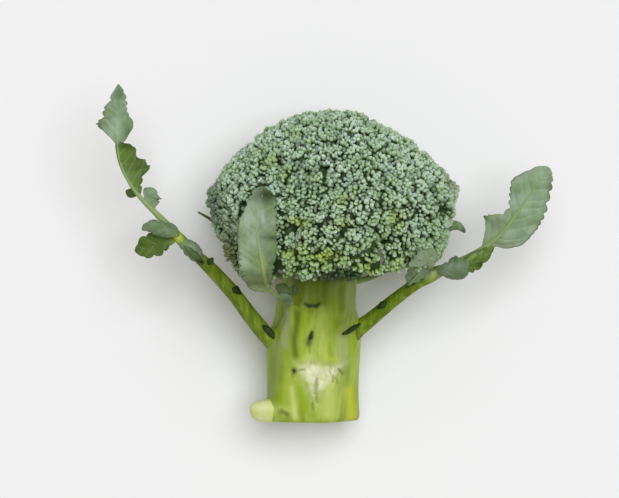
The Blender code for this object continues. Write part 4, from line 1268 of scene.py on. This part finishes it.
make_leaf("green_leaf_right", replaced="leaf_right", midrib=(
    (22.5, -38.6, 41.6, 4.2), (28, -34.2, 43.5, 3.8), (37, -26.5, 47, 3.5), (46.5, -19, 50, 3.2),
    (52, -15.2, 51.5, 3.3), (57.5, -12.2, 53, 3.9), (61, -10.4, 54, 3.5), (66, -8.2, 55, 2.7),
    (72, -5.5, 56, 2.3), (78, -2.5, 57.5, 2.1), (83, 0.4, 58.5, 1.9), (86.9, 3.2, 59, 1.6),
    (90.2, 5.9, 60, 1.3), (96, 10.9, 62, 1), (100.3, 16.8, 64, 0.85), (105.6, 24.8, 66, 0.7),
    (111, 32.6, 68, 0.5), (116.1, 39.8, 69.5, 0.4), (119.8, 45.4, 70, 0.25),
), lobes=(
    ((14, -16), {"wax": 0.92}, (
        (84.5, 1.2, 58.8, 0.6, 0.6), (87.5, 3.5, 59.5, 3, 1.6), (90.2, 5.9, 60, 5.6, 3.4),
        (93.4, 8.5, 61, 9.6, 8), (96, 10.9, 62, 14.4, 11.8), (98.7, 14.1, 63, 13.4, 13.4),
        (100.3, 16.8, 64, 8.4, 13.6), (103, 20.8, 65, 5, 14.4), (105.6, 24.8, 66, 7.9, 14),
        (108.3, 28.8, 67, 10.8, 13.6), (111, 32.6, 68, 13.2, 11.4), (113.6, 36.3, 69, 10.8, 9.6),
        (116.1, 39.8, 69.5, 8.4, 7.8), (118.2, 43, 70, 6, 5.2), (119.4, 44.8, 70, 3.6, 3.2),
        (120.2, 46, 70, 0.6, 0.6),
    )),
    ((35, 50), {"dark": 0.12}, (
        (75.2, -8, 57, 2, 2), (78.9, -5.7, 58, 5.4, 6), (82.6, -3.5, 59, 4.9, 5.4),
        (86.4, -0.8, 59.5, 4.2, 4), (89.1, 1.9, 60, 3, 2.8), (91.2, 4, 60.5, 1, 1),
    )),
    ((-68, -72), {"wax": 0.85, "dark": 0.44}, (
        (61.8, -10, 58, 1.5, 1.5), (64.6, -9.6, 60, 5.6, 5.2), (68.2, -9, 61.5, 7.2, 7.4),
        (72.2, -7.8, 62, 8.6, 8.8), (75.6, -6.2, 61.5, 8, 8.2), (77.6, -4.8, 60, 3, 3),
        (78.4, -4.2, 59.5, 0.5, 0.5),
    )),
    # The next three lobes are nearly black: painted shade of small leaf bits in shadow and of the slit at
    # this stalk's foot.
    ((-40, -40), {"wax": 0.2, "dark": 0.8}, (
        (45, -18.8, 53, 0.4, 0.4), (47.8, -16.6, 54, 2.2, 1.8), (50.8, -14.6, 54.5, 2.6, 1.8),
        (53.6, -12.8, 54, 0.4, 0.4),
    )),
    ((-70, -70), {"dark": 0.96}, (
        (29.6, -29.8, 48.4, 0.4, 0.4), (31.2, -28.6, 50.2, 2.5, 2.5), (33, -27.2, 50.4, 2.6, 2.6),
        (34.8, -25.9, 49.2, 0.4, 0.4),
    )),
    ((-60, -60), {"dark": 0.97}, (
        (9.9, -43.4, 59.5, 0.4, 0.4), (13, -42.4, 58.6, 1.4, 1.4), (16.6, -40.2, 55.6, 2, 1.6),
        (20.4, -37.8, 50.6, 0.5, 0.5),
    )),
), spots={
    "dark": (
        (121, 34, 1.5, 9, 0.35), (84, -5.5, 3, 1.6, 0.45), (79, 1, 3, 1.4, 0.3), (49, -14, 6, 2, 0.4),
    ),
    "young": ((59, -13, 4, 2.6, 0.45),),
    "worn": ((92.5, 16.5, 4.5, 4.5, 0.55), (97, 4.5, 7, 2.6, 0.55), (120, 33, 2, 6, 0.35)),
    "wax": ((80, 0.5, 5, 1.6, 0.35), (104, 30, 8, 9, 0.1)),
    "frost": ((57.5, -11, 3.6, 2.6, 0.55), (64, -6.4, 9, 1.6, 0.35)),
})
make_leaf("green_leaf_lobe", clearance=0.005, footed=False, midrib=(
    (45.5, -18.4, 50, 1.2), (47.2, -15.4, 55, 0.9), (50.4, -11.5, 62, 0.6), (53.4, -7.5, 69, 0.5),
    (55.8, -3.5, 73.5, 0.3), (57.4, 1, 76, 0.2),
), lobes=(
    ((-8, -10), {"wax": 0.85}, (
        (45.8, -16.6, 52, 0.5, 0.5), (47.4, -14.4, 56, 4.5, 2.6), (50.4, -11.2, 62, 8, 4.2),
        (53, -7.6, 69, 9, 4.6), (55.5, -3.6, 73.5, 8.4, 4.2), (57, 0, 75.5, 6, 3.4),
        (57.8, 3, 76.5, 0.5, 0.5),
    )),
), spots={"worn": ((56, -10, 3, 8, 0.25),), "frost": ((51, -7, 5, 6, 0.3),)})

# Front leaf
# A pale young leaf that lies flat on the lower left of the crown, its tip curled under and painted dark as
# shade.
# Its stalk leaves the big stalk just under the crown. Its middle is whitish with wax and painted
# highlights, and it is olive towards its foot.

make_leaf("green_leaf_front", clearance=0.006, replaced="leaf_front", midrib=(
    (-18, -26.4, 57, 1.2), (-21.5, -24.8, 62, 1.1), (-25.5, -22, 69, 1.1), (-28.8, -19.2, 77, 1.3),
    (-30.2, -16, 81.5, 1.5), (-31, -11.5, 84, 1.3), (-32.6, -2.5, 90.5, 1), (-34.5, 7.5, 96, 0.6),
    (-35, 12.3, 98, 0.4), (-34.6, 18, 100.5, 0.15), (-33, 27, 103, 0.1), (-31.8, 33, 102.5, 0.1),
), lobes=(
    ((-6, 4), {"wax": 0.74}, (
        (-29.6, -20.4, 79, 1.5, 0.5), (-29.8, -18.8, 80, 7, 1.5), (-30.2, -16, 81.5, 10, 3.2),
        (-31, -11.5, 84, 12.2, 5), (-31.8, -7, 87, 12.8, 6.6), (-32.6, -2.5, 90.5, 12.4, 8.4),
        (-33.6, 2.5, 93.5, 11.2, 9.6), (-34.5, 7.5, 96, 10.6, 10.2), (-35, 12.3, 98, 9.8, 10.8),
        (-34.8, 17, 100, 8.8, 10.8), (-34.2, 21.5, 102, 7.4, 10.4), (-33.4, 25.5, 103, 6.6, 9.8),
        (-32.6, 29.5, 103, 6, 8.6), (-32.2, 32, 102.5, 5, 6.4), (-31.8, 33.8, 102, 3, 3.6),
        (-31.6, 34.8, 101.5, 0.5, 0.5),
    )),
    ((-35, -45), {"wax": 0.55, "dark": 0.3}, (
        (-25.6, -17, 66, 0.6, 0.6), (-22.8, -18.4, 66, 3.2, 3.4), (-19.8, -19.8, 64, 3.4, 3.4),
        (-17, -21, 61.5, 0.6, 0.6),
    )),
    ((-30, -30), {"wax": 0.7, "dark": 0.1}, (
        (-23.4, -21.8, 64.5, 0.6, 0.6), (-20.6, -23.6, 64, 2.8, 3.2), (-17.2, -25.4, 62, 3, 3),
        (-14, -26.8, 59.5, 0.6, 0.6),
    )),
    ((-50, -40), {"wax": 0.4, "dark": 0.45}, (
        (-16.4, -17, 63, 0.6, 0.6), (-14.6, -19.4, 63, 2.2, 2.4), (-12.6, -22, 61.4, 2.2, 2.2),
        (-11, -24.2, 60, 0.5, 0.5),
    )),
), spots={
    "wax": ((-30, -15, 16, 8, -0.6), (-25.5, 4, 4, 9, -0.35)),
    "frost": ((-37, 17.5, 7, 6, 0.75), (-30, 17, 5, 5, 0.5), (-42, -2, 2.6, 7, 0.3), (-38, 6, 5, 6, 0.3)),
    "dark": (
        (-29.5, 30.5, 7.5, 4.6, 0.9), (-26.5, 8.2, 5, 1.6, 0.6), (-27, -8, 3, 7, 0.2),
        (-20, -25, 5, 2, 0.5),
    ),
    "worn": ((-35, -15.5, 9, 6, 0.6), (-38, -2, 3, 3, 0.15)),
    "young": ((-31.5, -9, 1.3, 10, 0.35),),
})

# Slivers
# Two narrow young leaves that come out of the stalk under the crown's back. The left one is dry and thin as
# a thread at its tip, and the right one's tip is curled.

make_leaf("green_leaf_sliver_left", replaced="leaf_sliver_left", midrib=(
    (-13, -17, 23, 1.6), (-24, -13, 14, 1.4), (-35, -5.5, 11, 1.2), (-45, 4, 14, 0.9), (-53, 12, 19, 0.7),
    (-61, 18.5, 25, 0.5), (-69, 23, 31, 0.3),
), lobes=(
    ((40, 40), {"wax": 0.3, "worn": 0.6}, (
        (-20, -14.5, 17, 0.8, 0.8), (-35, -5.5, 11, 2, 2), (-45, 4, 14, 2, 2), (-53, 12, 19, 1.4, 1.4),
        (-61, 18.5, 25, 0.9, 0.9), (-69, 23, 31, 0.4, 0.4),
    )),
), spots={"worn": ((-63, 19, 16, 12, 0.9),), "dark": ((-63, 19, 16, 12, 0.35),)})
make_leaf("green_leaf_sliver_right", replaced="leaf_sliver_right", midrib=(
    (11, -17, 23, 1.8), (24, -14.5, 15, 1.5), (38, -8.5, 9.5, 1.3), (50, 0.5, 11, 1.1),
    (60, 9.5, 20, 0.9), (67, 14.5, 27, 0.7), (73.5, 15.5, 31, 0.5), (77.5, 11.5, 32, 0.3),
), lobes=(
    ((-20, -20), {"wax": 0.55, "dark": 0.1}, (
        (18, -16, 18, 0.8, 0.8), (38, -8.5, 9.5, 1.8, 1.4), (50, 0.5, 11, 3.4, 3.4),
        (60, 9.5, 20, 3.6, 3.6), (67, 14.5, 27, 3.2, 3.2), (73.5, 15.5, 31, 2.6, 2.6),
        (76.5, 13.2, 31.8, 1.5, 1.5), (77.8, 11.2, 32, 0.4, 0.4),
    )),
), spots={"dark": ((77, 12, 2, 2.4, 0.7), (32, -12, 14, 5, 0.55)), "young": ((22, -15, 8, 5, 0.3),)})

# Floor, light and camera
# A plain matt table, far wider than the picture, under one wide soft light from the upper right and a
# faint sky. The camera looks straight down on it.

FLOOR_SIZE = 6.0
FLOOR_WHITE = (0.86, 0.86, 0.86, 1.0)
LAMP_WAY = (0.17, 0.23, 1.0)  # from the table towards it
LAMP_SPREAD = math.radians(44.0)  # of its soft disk, across
LAMP_STRENGTH = 2.26
LAMP_COLOUR = (1.0, 1.025, 1.068)
SKY_STRENGTH = 0.34
SKY_COLOUR = (1.0, 0.95, 0.86, 1.0)
CAMERA_PLACE = (-0.0073, 0.0024, 1.5)
CAMERA_LENS = 156.15
CAMERA_SENSOR = 36.0

bpy.ops.mesh.primitive_plane_add(size=FLOOR_SIZE)
floor = bpy.context.object
floor.name = "floor"
floor_paint, floor_tree, floor_shader, _ = principled("pale floor")
set_inputs(floor_tree, floor_shader, {"Base Color": FLOOR_WHITE, "Roughness": 0.9})
floor.data.materials.append(floor_paint)

lamp_data = bpy.data.lights.new("softbox", "SUN")
lamp_data.angle = LAMP_SPREAD
lamp_data.energy = LAMP_STRENGTH
lamp_data.color = LAMP_COLOUR
lamp = bpy.data.objects.new("softbox", lamp_data)
lamp.location = LAMP_WAY
lamp.rotation_euler = (-lamp.location).to_track_quat("-Z", "Y").to_euler()
bpy.context.scene.collection.objects.link(lamp)

world = bpy.data.worlds.new("studio")
world.use_nodes = True
sky = world.node_tree.nodes["Background"]
set_inputs(world.node_tree, sky, {"Strength": SKY_STRENGTH, "Color": SKY_COLOUR})
bpy.context.scene.world = world
bpy.context.scene.view_settings.view_transform = "Standard"

camera_data = bpy.data.cameras.new("camera")
camera_data.lens = CAMERA_LENS
camera_data.sensor_width = CAMERA_SENSOR
camera = bpy.data.objects.new("camera", camera_data)
camera.location = CAMERA_PLACE
bpy.context.scene.collection.objects.link(camera)
bpy.context.scene.camera = camera
